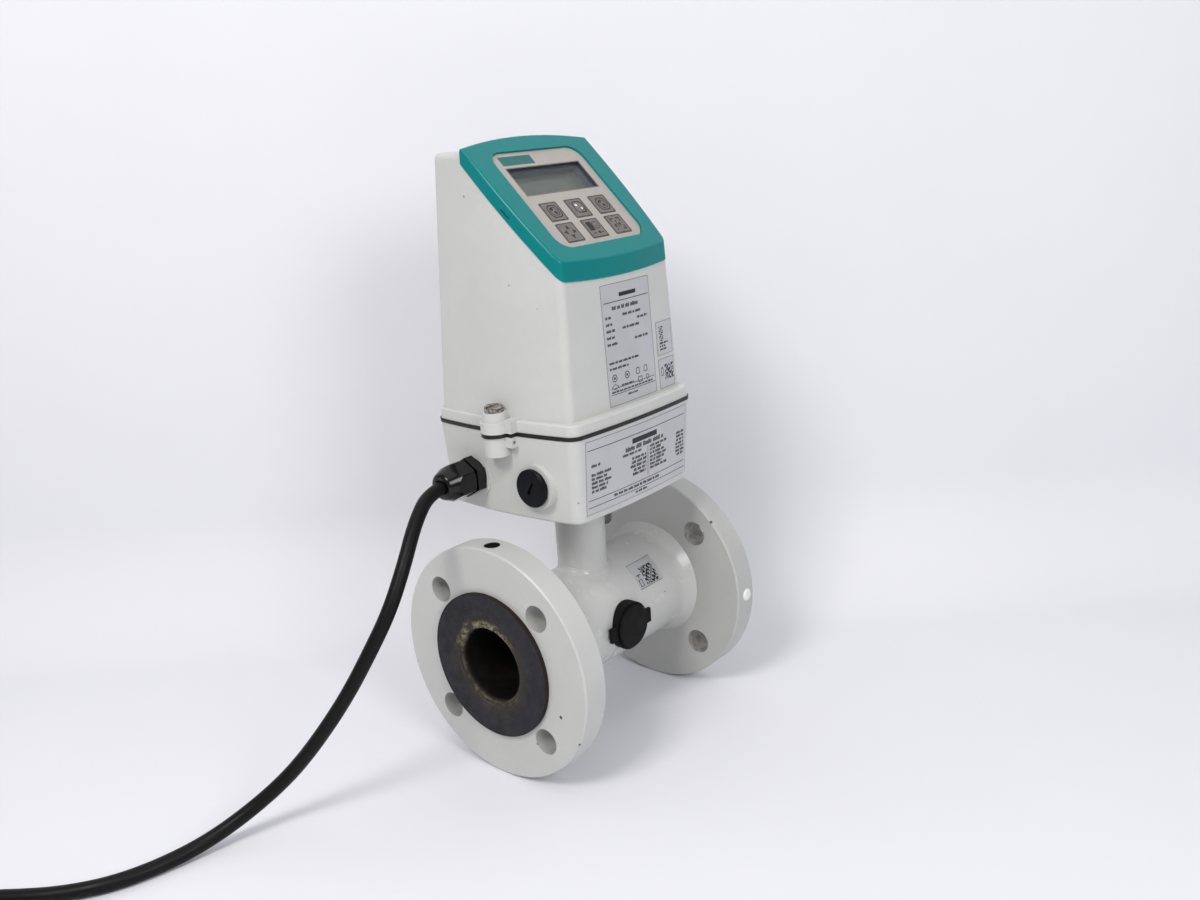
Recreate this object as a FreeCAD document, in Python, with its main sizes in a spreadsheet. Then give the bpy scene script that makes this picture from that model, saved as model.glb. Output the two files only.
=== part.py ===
"""Flanged electromagnetic flow meter with a compact transmitter, as a parametric document.

Millimetres. The origin is the centre of the inlet bolt circle on the pipe axis, +X runs along the
pipe towards the outlet, +Z is up and the keypad looks towards -Y.
"""
import FreeCAD, Part
import math
import os
import re

import Sketcher

V = FreeCAD.Vector
TURN = FreeCAD.Rotation

# name, value, meaning. Every length is in millimetres, every angle in degrees.
SIZES = [
    # pipe, flanges and liner
    ("body_length", 194, "between the outer faces of the two flanges"),
    ("flange_diameter", 165, "plate flange"),
    ("flange_thickness", 20, "plate flange"),
    ("flange_chamfer", 1, "edges of the plate flange"),
    ("bolt_circle", 125, "pitch circle of the flange holes"),
    ("bolt_hole", 18, "flange hole"),
    ("bolt_count", 4, "flange holes"),
    ("rim_hole", 11, "tapped hole in the rim of the inlet flange"),
    ("rim_hole_depth", 14, "tapped hole in the rim"),
    ("rim_hole_inset", 9.5, "from a flange's outer face to its rim hole"),
    ("rim_plug", 9, "plug in the rim of the outlet flange"),
    ("rim_plug_head", 1.5, "height of the plug's head above the rim"),
    ("pipe_diameter", 60.3, "outside of the measuring tube"),
    ("pipe_wall", 2, "measuring tube"),
    ("liner_lip", 3, "liner ring on each flange face"),
    ("liner_ring", 102, "diameter of the liner ring"),
    ("bore_mouth", 52, "bore at the flange faces"),
    ("bore_throat", 42, "bore at the electrodes"),
    ("throat_length", 70, "straight part of the bore"),
    ("mouth_depth", 6, "straight part of each mouth"),
    ("mouth_round", 3, "rounding of the liner at the mouth"),
    # coil housing and its insides
    ("jacket_diameter", 77.6, "coil housing"),
    ("jacket_wall", 3, "coil housing"),
    ("jacket_flare", 6, "how far the housing swells at each flange"),
    ("jacket_flare_length", 9, "length of the swelling"),
    ("jacket_flare_round", 12.6, "rounding where the swelling starts"),
    ("coil_thickness", 3.6, "saddle coils, measured outwards"),
    ("coil_length", 84, "saddle coils along the pipe"),
    ("coil_width", 50, "saddle coils across the pipe"),
    ("coil_limb", 13, "width of the wound limb"),
    ("yoke_thickness", 0.7, "return plate round the coils"),
    ("yoke_gap", 0.2, "between the coils and the return plate"),
    ("pole_gap", 1, "between a pole shoe and its coil"),
    ("electrode_stem", 5, "electrode shank"),
    ("electrode_head", 9, "electrode head in the bore"),
    ("electrode_proud", 1, "height of the head inside the bore"),
    ("electrode_gap", 0.5, "round an electrode in the measuring tube"),
    ("electrode_nut", 8, "electrode nut across flats"),
    ("electrode_nut_height", 4, "electrode nut"),
    ("port_diameter", 28, "service port over each electrode"),
    ("port_reach", 40.5, "from the pipe axis to the rim of the port"),
    ("cap_diameter", 34.5, "cap on the service port"),
    ("cap_rim", 2.4, "thickness of the cap's rim"),
    ("cap_crown", 31, "raised disc of the cap"),
    ("cap_crown_height", 2.8, "raised disc of the cap"),
    ("cap_bevel", 1, "edge of the raised disc"),
    ("port_cover", 3, "from an electrode's end to the rim of its port"),
    ("cap_tab_width", 10.6, "finger tabs of the cap"),
    ("cap_tab_span", 44.5, "from the end of one tab to the other"),
    ("ground_position", 36, "grounding electrode, from the inlet face"),
    # neck
    ("neck_x", 97, "neck and transmitter, from the inlet face"),
    ("neck_diameter", 35.8, "neck tube"),
    ("neck_wall", 2.6, "neck tube"),
    ("neck_plate", 56, "square plate on top of the neck"),
    ("neck_plate_thickness", 5, "square plate"),
    ("neck_screw_spacing", 40, "screws that hold the box to the neck plate"),
    ("neck_screw", 5, "screw shank"),
    ("neck_screw_head", 9, "screw head"),
    ("neck_screw_height", 3.5, "screw head"),
    # terminal box
    ("box_bottom", 96.6, "height above the pipe axis"),
    ("gasket_level", 154, "top of the terminal box"),
    ("box_front_half", 62.2, "half width at the front corners, at the top"),
    ("box_rear_half", 66.8, "half width at the rear corners, at the top"),
    ("box_front", 56.6, "from the pipe axis to the front corners"),
    ("box_rear", 64, "from the pipe axis to the rear corners"),
    ("box_side_bow", 334, "radius of the bowed sides"),
    ("end_bow", 600, "radius of the bowed front and back of box and housing"),
    ("box_corner", 9, "corner radius"),
    ("box_side_lean", 0.058, "draft of the sides"),
    ("box_end_lean", 0.055, "draft of the front and back"),
    ("box_wall", 3.2, "terminal box"),
    ("box_floor", 4, "terminal box"),
    ("box_foot_round", 2, "rounding round the bottom of the box"),
    ("gasket_thickness", 2.6, "seal between box and transmitter"),
    ("gasket_width", 5, "seal between box and transmitter"),
    ("gasket_bulge", 0.5, "how far the seal stands out"),
    ("entry_level", 120.9, "cable entries above the pipe axis"),
    ("entry_centre", 3, "middle of the cable entries behind the pipe axis"),
    ("entry_spacing", 55.2, "between the two entries of one side"),
    ("entry_bore", 20.4, "cable entry"),
    ("entry_boss", 31, "raised ring round an entry"),
    ("entry_face", 68.9, "half width of the box over the raised rings"),
    ("entry_root", 60, "half width at which the rings start"),
    # cover screws
    ("screw_reach", 73.9, "cover screws, from the neck"),
    ("screw_offset", 0.8, "cover screws behind the pipe axis"),
    ("screw_pad", 9.7, "radius of the lip's pad"),
    ("screw_tower", 8, "radius of the boss above the pad"),
    ("screw_web", 12.8, "width of the web between boss and wall"),
    ("screw_foot", 8.5, "radius of the boss on the box"),
    ("tower_top", 170, "height of the boss above the pipe axis"),
    ("foot_bottom", 141, "height of the lower boss"),
    ("screw_end", 144, "height of the cover screw's end"),
    ("screw_shank", 6, "cover screw"),
    ("screw_head", 12.4, "cover screw"),
    ("screw_head_height", 4, "cover screw"),
    ("screw_slot", 2, "slot of the cover screw"),
    ("screw_slot_depth", 1.4, "slot of the cover screw"),
    ("seal_lug_width", 7, "sealing lug beside the cover screw"),
    ("seal_lug_height", 7, "sealing lug"),
    ("seal_lug_reach", 74.5, "outside of the sealing lug, from the neck"),
    ("seal_lug_y", -13.4, "front face of the sealing lug"),
    ("seal_eye", 2.6, "hole of the sealing lug"),
    ("seal_lug_rise", 8.4, "lug of the housing above the gasket, over the box's lug"),
    # transmitter housing
    ("lip_top", 164, "top of the lip"),
    ("lip_round", 1.5, "upper edge of the lip"),
    ("shell_front_half", 58.2, "half width at the front corners, at the lip"),
    ("shell_rear_half", 66, "half width at the rear corners, at the lip"),
    ("shell_front", 50.5, "from the pipe axis to the front corners"),
    ("shell_rear", 59.5, "from the pipe axis to the rear corners"),
    ("shell_side_bow", 300, "radius of the bowed sides"),
    ("shell_corner", 6, "corner radius"),
    ("shell_side_lean", 0.052, "draft of the sides"),
    ("shell_end_lean", 0.042, "draft of the front and back"),
    ("shell_wall", 3, "transmitter housing"),
    ("shell_top", 331, "flat top behind the bezel"),
    ("shell_crown_round", 4, "rounding of the flat top"),
    # slanted face
    ("face_angle", 44.5, "slope of the keypad face"),
    ("face_y", -45, "point where the face's own measure starts"),
    ("face_z", 266.5, "height of that point"),
    ("bezel_depth", 8.5, "bezel, square to the face"),
    ("bezel_proud", 0.5, "bezel beyond the housing's walls"),
    ("bezel_back_bow", 380, "radius of the bezel's rear edge"),
    ("bezel_back", 30.5, "rear edge behind the pipe axis"),
    ("bezel_edge_round", 2, "outer edge of the bezel"),
    ("panel_half_width", 42.8, "keypad panel"),
    ("panel_low", 6.4, "lower edge up the face"),
    ("panel_high", 89.5, "upper edge up the face"),
    ("panel_corner", 11, "corner radius"),
    ("panel_sunk", 1.5, "panel below the bezel's face"),
    ("panel_thickness", 2, "keypad panel"),
    ("panel_gap", 0.2, "between panel and bezel"),
    ("panel_ledge", 3, "ledge that carries the panel"),
    # keys and display
    ("key_width", 16.2, "key"),
    ("key_height", 15.8, "key"),
    ("key_corner", 1, "key"),
    ("key_pitch", 23.9, "between columns of keys"),
    ("key_row_low", 18.7, "middle of the lower row up the face"),
    ("key_row_high", 36.8, "middle of the upper row up the face"),
    ("key_gap", 0.15, "round each key"),
    ("key_proud", 0.3, "key above the panel"),
    ("key_foot", 0.8, "thickness of the key's foot"),
    ("key_foot_lap", 0.8, "foot behind the panel"),
    ("key_rest", 0.05, "between the key's foot and the panel"),
    ("key_travel", 0.5, "how far a key goes in"),
    ("dome_height", 0.8, "dome under each key"),
    ("dome_diameter", 9, "dome under each key"),
    ("dome_gap", 0.06, "left under a pressed key"),
    ("window_half_width", 35, "display window"),
    ("window_low", 52.4, "display window"),
    ("window_high", 76, "display window"),
    ("window_thickness", 1.2, "display window"),
    ("window_lap", 1.5, "window behind the panel"),
    ("circuit_thickness", 1.6, "every circuit board"),
    ("post_diameter", 4, "posts under the boards"),
    ("post_across", 12, "posts of the panel, from its middle"),
    ("display_depth", 5, "display module"),
    # inside the transmitter
    ("base_gap", 0.3, "between the base plate and the housing"),
    ("base_thickness", 3, "base plate"),
    ("base_recess", 1, "base plate above the seal"),
    ("base_post", 9, "corner posts of the housing"),
    ("base_screw", 3, "base plate screw"),
    ("base_screw_head", 5.6, "base plate screw"),
    ("base_screw_front_half", 51.5, "front posts, from the neck"),
    ("base_screw_rear_half", 60, "rear posts, from the neck"),
    ("base_screw_front", 43, "front posts before the pipe axis"),
    ("base_screw_rear", 54, "rear posts behind the pipe axis"),
    ("main_circuit_length", 88, "main board"),
    ("main_circuit_width", 74, "main board"),
    ("main_post_height", 12, "posts of the base plate"),
    ("power_block_length", 42, "power supply transformer"),
    ("power_block_width", 34, "power supply transformer"),
    ("power_block_height", 28, "power supply transformer"),
    ("plug_length", 46, "connector between the boards"),
    ("plug_width", 9, "connector between the boards"),
    ("plug_y", -5, "middle of the connector"),
    ("plug_join", 140, "level where plug and socket meet"),
    ("ribbon_width", 20, "ribbon to the display board"),
    ("ribbon_thickness", 0.8, "ribbon to the display board"),
    ("ribbon_up", 30, "where the ribbon meets the display board"),
    # inside the terminal box
    ("link_circuit_length", 96, "connection board"),
    ("link_circuit_width", 64, "connection board"),
    ("link_post_height", 10, "posts of the box floor"),
    ("link_post", 7, "posts of the box floor"),
    ("clamp_length", 60, "terminal block"),
    ("clamp_width", 11, "terminal block"),
    ("clamp_height", 13, "terminal block"),
    ("clamp_ways", 8, "clamps in a terminal block"),
    ("clamp_screw", 4, "screw well of a clamp"),
    ("memory_length", 26, "memory module"),
    ("memory_width", 12, "memory module"),
    ("memory_height", 7, "memory module"),
    ("earth_stud", 5, "earth terminal"),
    ("earth_nut", 9, "earth terminal"),
    ("earth_washer", 13, "earth terminal"),
    # cable gland, plugs and cable
    ("gland_flange", 24, "hexagon of the gland body across flats"),
    ("gland_flange_length", 7, "hexagon of the gland body"),
    ("gland_thread", 20, "thread of the gland body and the plugs"),
    ("gland_thread_length", 13, "thread of the gland body"),
    ("gland_throat", 14, "bore of the gland body"),
    ("gland_cone_length", 5, "bare neck between gland body and nut"),
    ("dome_nut", 22.8, "dome nut across flats"),
    ("dome_nut_length", 22, "dome nut"),
    ("dome_nut_end", 17, "outer face of the dome nut"),
    ("dome_nut_grip", 12, "straight part of the dome nut"),
    ("dome_nut_round", 3, "rounding of the dome"),
    ("nut_corner", 0.3, "taken off the nut's corners"),
    ("edge_bevel", 0.7, "turned edges of nut, plugs and screws"),
    ("dome_nut_lap", 4, "dome nut over the bare neck"),
    ("claw_diameter", 19, "gland body inside the nut"),
    ("claw_length", 18, "gland body inside the nut"),
    ("seal_length", 12, "sealing sleeve"),
    ("thread_gap", 0.2, "round threads in plain holes"),
    ("locknut", 26, "locknut across flats"),
    ("locknut_length", 5, "locknut"),
    ("plug_head", 25.6, "blanking plug"),
    ("plug_head_height", 2.6, "blanking plug"),
    ("plug_slot_length", 9, "slot of the blanking plug"),
    ("plug_slot_width", 2, "slot of the blanking plug"),
    ("plug_slot_depth", 1.4, "slot of the blanking plug"),
    ("plug_slot_turn", 30, "lean of the slot from the upright"),
    ("plug_seal", 1, "washer under a plug or gland"),
    ("plug_seal_diameter", 24, "washer under a plug or gland"),
    ("cable_diameter", 9.5, "cable"),
    ("core_diameter", 2.6, "insulated wire"),
    ("wire_gap", 0.8, "between the sensor leads"),
    ("coil_turn_diameter", 106, "middle of a turn of the coiled cable"),
    ("coil_layers", 2, "turns lying side by side, and layers"),
    ("ferrule_length", 8, "ferrule on a wire"),
    ("ferrule_diameter", 1.3, "ferrule on a wire"),
    ("stripped_length", 24, "wires beyond the cable's end"),
    # labels
    ("label_thickness", 0.25, "every label"),
    ("rating_left", -21.5, "rating label, from the neck"),
    ("rating_width", 50.5, "rating label"),
    ("rating_low", 166, "rating label"),
    ("rating_high", 245, "rating label"),
    ("side_label_left", 33.5, "small labels, from the neck"),
    ("side_label_width", 18.5, "small labels"),
    ("function_low", 189, "upper small label"),
    ("function_high", 212, "upper small label"),
    ("code_low", 166, "lower small label"),
    ("code_high", 186.5, "lower small label"),
    ("box_label_left", -53.5, "label of the terminal box"),
    ("box_label_width", 108, "label of the terminal box"),
    ("box_label_low", 101.5, "label of the terminal box"),
    ("box_label_high", 151.5, "label of the terminal box"),
    ("body_label_gap", 19.5, "from the label to where the coil housing swells"),
    ("body_label_width", 26, "label of the coil housing"),
    ("body_label_angle", 49, "label's middle, turned from the top to the front"),
    ("body_label_spread", 31, "angle that the label covers"),
]

doc = FreeCAD.newDocument("FlowMeter")
sheet = doc.addObject("Spreadsheet::Sheet", "Sizes")
for row, (alias, number, meaning) in enumerate(SIZES, start=1):
    sheet.set("A%d" % row, alias)
    sheet.set("B%d" % row, str(number))
    sheet.setAlias("B%d" % row, alias)
    sheet.set("C%d" % row, meaning)
doc.recompute()
ALIASES = {alias for alias, number, meaning in SIZES}
PARTS = []

# Places that follow from the sizes, written once and used by every piece that meets there.
SEAL_TOP = "(gasket_level + gasket_thickness)"
PIPE_RADIUS = "(pipe_diameter / 2)"
PIPE_BORE = "(pipe_diameter / 2 - pipe_wall)"
COIL_RADIUS = "(pipe_diameter / 2 + coil_thickness)"
JACKET_RADIUS = "(jacket_diameter / 2)"
JACKET_BORE = "(jacket_diameter / 2 - jacket_wall)"
FRONT_ENTRY = "(entry_centre - entry_spacing / 2)"
REAR_ENTRY = "(entry_centre + entry_spacing / 2)"
BOX_INSIDE = "(box_bottom + box_floor)"
LINK_CIRCUIT = "(box_bottom + box_floor + link_post_height)"
LINK_TOP = "(box_bottom + box_floor + link_post_height + circuit_thickness)"
BASE_BOTTOM = "(gasket_level + gasket_thickness + base_recess)"
BASE_TOP = "(gasket_level + gasket_thickness + base_recess + base_thickness)"
PANEL_BACK = "(-panel_sunk - panel_thickness)"
KEY_BOTTOM = "(%s - key_rest - key_foot)" % PANEL_BACK
CIRCUIT_FRONT = "(%s - key_travel - dome_gap - dome_height)" % KEY_BOTTOM
CIRCUIT_BACK = "(%s - circuit_thickness)" % CIRCUIT_FRONT
GLAND_FACE = "(neck_x - entry_face - plug_seal)"
GLAND_SHOULDER = "(neck_x - entry_face - plug_seal - gland_flange_length)"
CLAW_END = "(gland_flange_length + claw_length)"
CABLE_START = "(%s - seal_length)" % GLAND_SHOULDER
FLOOR = "(-flange_diameter / 2)"


def bind(text):
    """The expression as an object's property reads it, with each size taken from the sheet."""
    return re.sub(r"[a-z][a-z_]*", lambda word: "Sizes." + word[0] if word[0] in ALIASES else word[0],
                  text)


def value(text):
    """The expression's value now."""
    result = sheet.evalExpression(text)
    return float(getattr(result, "Value", result))


def put(thing, x="0", y="0", z="0", axis=None, angle=0):
    """Place a thing by size expressions, after turning it about an axis."""
    if axis:
        thing.Placement = FreeCAD.Placement(V(), TURN(V(*axis), angle))
    thing.setExpression("Placement.Base.x", bind(x))
    thing.setExpression("Placement.Base.y", bind(y))
    thing.setExpression("Placement.Base.z", bind(z))
    return thing


UP_FROM_X = ((0, 1, 0), -90)
BACK_FROM_X = ((0, 0, 1), 90)
FRONT_FROM_X = ((0, 0, 1), -90)
LEFT_FROM_X = ((0, 0, 1), 180)
X_FROM_UP = ((0, 1, 0), 90)
FRONT_FROM_UP = ((1, 0, 0), 90)


def put_on_face(thing, across="0", up="0", out="0"):
    """Place a thing in the slanted face's own measure: across, up the slope and out of it."""
    thing.Placement = FreeCAD.Placement(V(), TURN(V(1, 0, 0), value("face_angle")))
    thing.setExpression("Placement.Rotation.Angle", bind("face_angle * 1 deg"))
    cosine = "cos(face_angle * 1 deg)"
    sine = "sin(face_angle * 1 deg)"
    thing.setExpression("Placement.Base.x", bind("neck_x + %s" % across))
    thing.setExpression("Placement.Base.y", bind("face_y + (%s) * %s - (%s) * %s" % (up, cosine, out, sine)))
    thing.setExpression("Placement.Base.z", bind("face_z + (%s) * %s + (%s) * %s" % (up, sine, out, cosine)))
    return thing


def keep(node, thing):
    """Name a finished piece and list it for writing."""
    thing.Label = node
    PARTS.append((node, thing))
    return thing


# ---- sketches and features -------------------------------------------------------------------

def sketch_on(body, role, lift="0"):
    """An empty sketch on one of the body's own planes, lifted along the plane's normal."""
    plane = next(item for item in body.Origin.OriginFeatures if item.Role == role)
    sketch = body.newObject("Sketcher::SketchObject", body.Name + "_sketch")
    sketch.AttachmentSupport = (plane, "")
    sketch.MapMode = "FlatFace"
    sketch.setExpression("AttachmentOffset.Base.z", bind(lift))
    return sketch


def pin(sketch, kind, geometry, point, text):
    """Tie a point's distance from the sketch's origin to a size."""
    number = sketch.addConstraint(Sketcher.Constraint(kind, -1, 1, geometry, point, value(text)))
    sketch.setExpression("Constraints[%d]" % number, bind(text))


def set_radius(sketch, geometry, text):
    number = sketch.addConstraint(Sketcher.Constraint("Radius", geometry, value(text)))
    sketch.setExpression("Constraints[%d]" % number, bind(text))


def add_circle(sketch, radius, across="0", up="0"):
    geometry = sketch.addGeometry(Part.Circle(V(value(across), value(up), 0), V(0, 0, 1), value(radius)))
    pin(sketch, "DistanceX", geometry, 3, across)
    pin(sketch, "DistanceY", geometry, 3, up)
    set_radius(sketch, geometry, radius)


def bowed_side(start, end, radius):
    """An arc that bows outward when the outline runs anticlockwise."""
    chord = end - start
    inward = V(-chord.y, chord.x, 0).normalize()
    rise = math.sqrt(radius ** 2 - chord.Length ** 2 / 4)
    centre = (start + end) * 0.5 + inward * rise
    first = math.atan2(start.y - centre.y, start.x - centre.x)
    last = math.atan2(end.y - centre.y, end.x - centre.x)
    return Part.ArcOfCircle(Part.Circle(centre, V(0, 0, 1), radius), first, last)


def add_outline(sketch, corners, bows=None):
    """A closed anticlockwise outline; bows gives the radius of a side by the side's number."""
    bows = bows or {}
    points = [V(value(across), value(up), 0) for across, up in corners]
    sides = []
    for number, start in enumerate(points):
        end = points[(number + 1) % len(points)]
        if number in bows:
            side = bowed_side(start, end, value(bows[number]))
        else:
            side = Part.LineSegment(start, end)
        sides.append(sketch.addGeometry(side))
    for number, side in enumerate(sides):
        following = sides[(number + 1) % len(sides)]
        sketch.addConstraint(Sketcher.Constraint("Coincident", side, 2, following, 1))
    for side, (across, up) in zip(sides, corners):
        pin(sketch, "DistanceX", side, 1, across)
        pin(sketch, "DistanceY", side, 1, up)
    for number, radius in bows.items():
        set_radius(sketch, sides[number], radius)


def rectangle(half_width, low, high, left=None):
    """Corners of a rectangle that is even about the sketch's upright, or starts at left."""
    first = left or "-(%s)" % half_width
    last = "%s + %s" % (left, half_width) if left else half_width
    return [(first, low), (last, low), (last, high), (first, high)]


def new_body(name):
    return doc.addObject("PartDesign::Body", name)


def pad(body, sketch, length, even=False, back=False):
    feature = body.newObject("PartDesign::Pad", body.Name + "_pad")
    feature.Profile = sketch
    feature.SideType = "Symmetric" if even else "One side"
    feature.Reversed = back
    feature.setExpression("Length", bind(length))
    sketch.Visibility = False
    return feature


def pocket(body, sketch, length=None, even=False, back=False):
    feature = body.newObject("PartDesign::Pocket", body.Name + "_pocket")
    feature.Profile = sketch
    feature.SideType = "Symmetric" if even else "One side"
    feature.Reversed = back
    if length:
        feature.setExpression("Length", bind(length))
    else:
        feature.Type = "ThroughAll"
    return feature


def dress(body, kind, base, edges, size):
    """Round or bevel the base feature's chosen edges."""
    names = ["Edge%d" % (number + 1) for number, edge in enumerate(base.Shape.Edges) if edges(edge)]
    feature = body.newObject("PartDesign::" + kind, body.Name + "_" + kind.lower())
    feature.Base = (base, names)
    feature.setExpression("Radius" if kind == "Fillet" else "Size", bind(size))
    return feature


def turned(name, profile):
    """A body turned about its own X axis; profile gives distance along it and radius."""
    body = new_body(name)
    sketch = sketch_on(body, "XZ_Plane")
    add_outline(sketch, profile)
    feature = body.newObject("PartDesign::Revolution", name + "_turn")
    feature.Profile = sketch
    feature.ReferenceAxis = (sketch, ["H_Axis"])
    feature.Angle = 360
    body.Tip = feature
    return body


def plate(name, outline, thickness, bows=None, lift="0", corner=None):
    """A body padded up from an outline on its own XY plane, with rounded upright corners."""
    body = new_body(name)
    sketch = sketch_on(body, "XY_Plane", lift)
    add_outline(sketch, outline, bows)
    feature = pad(body, sketch, thickness)
    if corner:
        doc.recompute()
        feature = dress(body, "Fillet", feature, is_upright, corner)
    body.Tip = feature
    return body


def is_upright(edge):
    """True on an edge that climbs, which in a plate or a drafted block is a corner."""
    ends = [vertex.Point.z for vertex in edge.Vertexes]
    return len(ends) == 2 and abs(ends[0] - ends[1]) > 0.5 * edge.Length


def lies_at(level):
    """A test for edges that lie in one level plane."""
    height = value(level)
    return lambda edge: (abs(edge.BoundBox.ZMin - height) < 1e-4 and abs(edge.BoundBox.ZMax - height) < 1e-4)


def cylinder(name, radius, height, x="0", y="0", z="0", turn=None):
    rod = doc.addObject("Part::Cylinder", name)
    rod.setExpression("Radius", bind(radius))
    rod.setExpression("Height", bind(height))
    axis, angle = turn or (None, 0)
    return put(rod, x, y, z, axis, angle)


def block(name, size, x="0", y="0", z="0"):
    """A box whose low corner is at the place given."""
    brick = doc.addObject("Part::Box", name)
    for side, text in zip(("Length", "Width", "Height"), size):
        brick.setExpression(side, bind(text))
    return put(brick, x, y, z)


def cut(name, base, tool):
    result = doc.addObject("Part::Cut", name)
    result.Base = base
    result.Tool = tool
    result.Refine = True
    return result


def fuse(name, *shapes):
    result = doc.addObject("Part::MultiFuse", name)
    result.Shapes = list(shapes)
    result.Refine = True
    return result


def common(name, *shapes):
    result = doc.addObject("Part::MultiCommon", name)
    result.Shapes = list(shapes)
    return result


def group(name, *shapes):
    """Separate solids kept as one piece list."""
    result = doc.addObject("Part::Compound", name)
    result.Links = list(shapes)
    return result


# ---- the two drafted shells ------------------------------------------------------------------

BOX_PLAN = {
    "front_half": "box_front_half", "rear_half": "box_rear_half", "front": "box_front",
    "rear": "box_rear", "side_bow": "box_side_bow", "end_bow": "end_bow", "side_lean": "box_side_lean",
    "end_lean": "box_end_lean", "level": "gasket_level", "corner": "box_corner", "widens": "-1",
}
SHELL_PLAN = {
    "front_half": "shell_front_half", "rear_half": "shell_rear_half", "front": "shell_front",
    "rear": "shell_rear", "side_bow": "shell_side_bow", "end_bow": "end_bow", "side_lean": "shell_side_lean",
    "end_lean": "shell_end_lean", "level": "lip_top", "corner": "shell_corner", "widens": "1",
}


def wall_cone(name, plan, levels, grow, wall, x, y, turn=0):
    """The flat cone whose side is one bowed, leaning wall. Its radius is set at the plan's level."""
    cone = doc.addObject("Part::Cone", name)
    for side, level in zip(("Radius1", "Radius2"), levels):
        cone.setExpression(side, bind("%s + %s - %s * %s * ((%s) - %s)" % (
            plan[wall + "_bow"], grow, plan[wall + "_lean"], plan["widens"], level, plan["level"])))
    cone.setExpression("Height", bind("(%s) - (%s)" % (levels[1], levels[0])))
    return put(cone, x, y, levels[0], (0, 0, 1), turn)


def drafted(name, plan, low, high, grow="0", crown=None, foot=None):
    """A solid with four bowed, leaning walls between two heights, drawn outward by grow."""
    spread = "(%(rear_half)s - %(front_half)s)" % plan
    depth = "(%(front)s + %(rear)s)" % plan
    chord = "sqrt(%s ^ 2 + %s ^ 2)" % (spread, depth)
    rise = "sqrt(%s ^ 2 - (%s ^ 2 + %s ^ 2) / 4)" % (plan["side_bow"], spread, depth)
    across = "((%s + %s) / 2 - %s / %s * %s)" % (plan["front_half"], plan["rear_half"], depth, chord, rise)
    along = "((%s - %s) / 2 + %s / %s * %s)" % (plan["rear"], plan["front"], spread, chord, rise)
    front = "sqrt(%(end_bow)s ^ 2 - %(front_half)s ^ 2) - %(front)s" % plan
    rear = "%(rear)s - sqrt(%(end_bow)s ^ 2 - %(rear_half)s ^ 2)" % plan
    levels = (low, high)
    walls = common(
        name + "_walls",
        wall_cone(name + "_right", plan, levels, grow, "side", "neck_x + " + across, along, 180),
        wall_cone(name + "_left", plan, levels, grow, "side", "neck_x - " + across, along),
        wall_cone(name + "_front", plan, levels, grow, "end", "neck_x", front),
        wall_cone(name + "_rear", plan, levels, grow, "end", "neck_x", rear))
    body = new_body(name)
    body.BaseFeature = walls
    doc.recompute()
    tip = dress(body, "Fillet", body.Tip, is_upright, plan["corner"] + " + " + grow)
    for level, size in ((high, crown), (low, foot)):
        if size:
            doc.recompute()
            tip = dress(body, "Fillet", tip, lies_at(level), size)
    body.Tip = tip
    return body


def face_block(name, out_low, out_high, cut_back=True):
    """A slab parallel to the slanted face, ending behind at the bezel's bowed rear edge."""
    slab = doc.addObject("Part::Box", name + "_slab")
    slab.setExpression("Length", bind("4 * shell_rear_half"))
    slab.setExpression("Width", bind("5 * shell_rear_half"))
    slab.setExpression("Height", bind("(%s) - (%s)" % (out_high, out_low)))
    put_on_face(slab, "-2 * shell_rear_half", "-2 * shell_rear_half", out_low)
    if not cut_back:
        return slab
    round_back = cylinder(name + "_back", "bezel_back_bow", "2 * shell_top",
                          "neck_x", "bezel_back - bezel_back_bow")
    return common(name, slab, round_back)


# ---- pipe, flanges and liner -----------------------------------------------------------------

def is_round(radius):
    """A test for round edges of one radius."""
    size = value(radius)
    return lambda edge: hasattr(edge.Curve, "Radius") and abs(edge.Curve.Radius - size) < 1e-4


def make_flange(node, x, rim_inset, rim_radius, rim_role):
    """A plate flange with a bolt circle and one hole in its rim."""
    body = new_body(node)
    disc = sketch_on(body, "YZ_Plane")
    add_circle(disc, "flange_diameter / 2")
    add_circle(disc, PIPE_RADIUS)
    tip = pad(body, disc, "flange_thickness")
    doc.recompute()
    dress(body, "Chamfer", tip, is_round("flange_diameter / 2"), "flange_chamfer")
    hole = sketch_on(body, "YZ_Plane")
    add_circle(hole, "bolt_hole / 2", "bolt_circle / sqrt(8)", "bolt_circle / sqrt(8)")
    drilled = pocket(body, hole, even=True)
    ring = body.newObject("PartDesign::PolarPattern", node + "_bolt_holes")
    ring.Originals = [drilled]
    ring.Axis = (hole, ["N_Axis"])
    ring.Angle = 360
    ring.setExpression("Occurrences", bind("bolt_count"))
    body.Tip = ring
    rim = sketch_on(body, rim_role, "flange_diameter / 2")
    add_circle(rim, rim_radius, rim_inset)
    body.Tip = pocket(body, rim, "rim_hole_depth")
    return keep(node, put(body, x))


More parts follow.
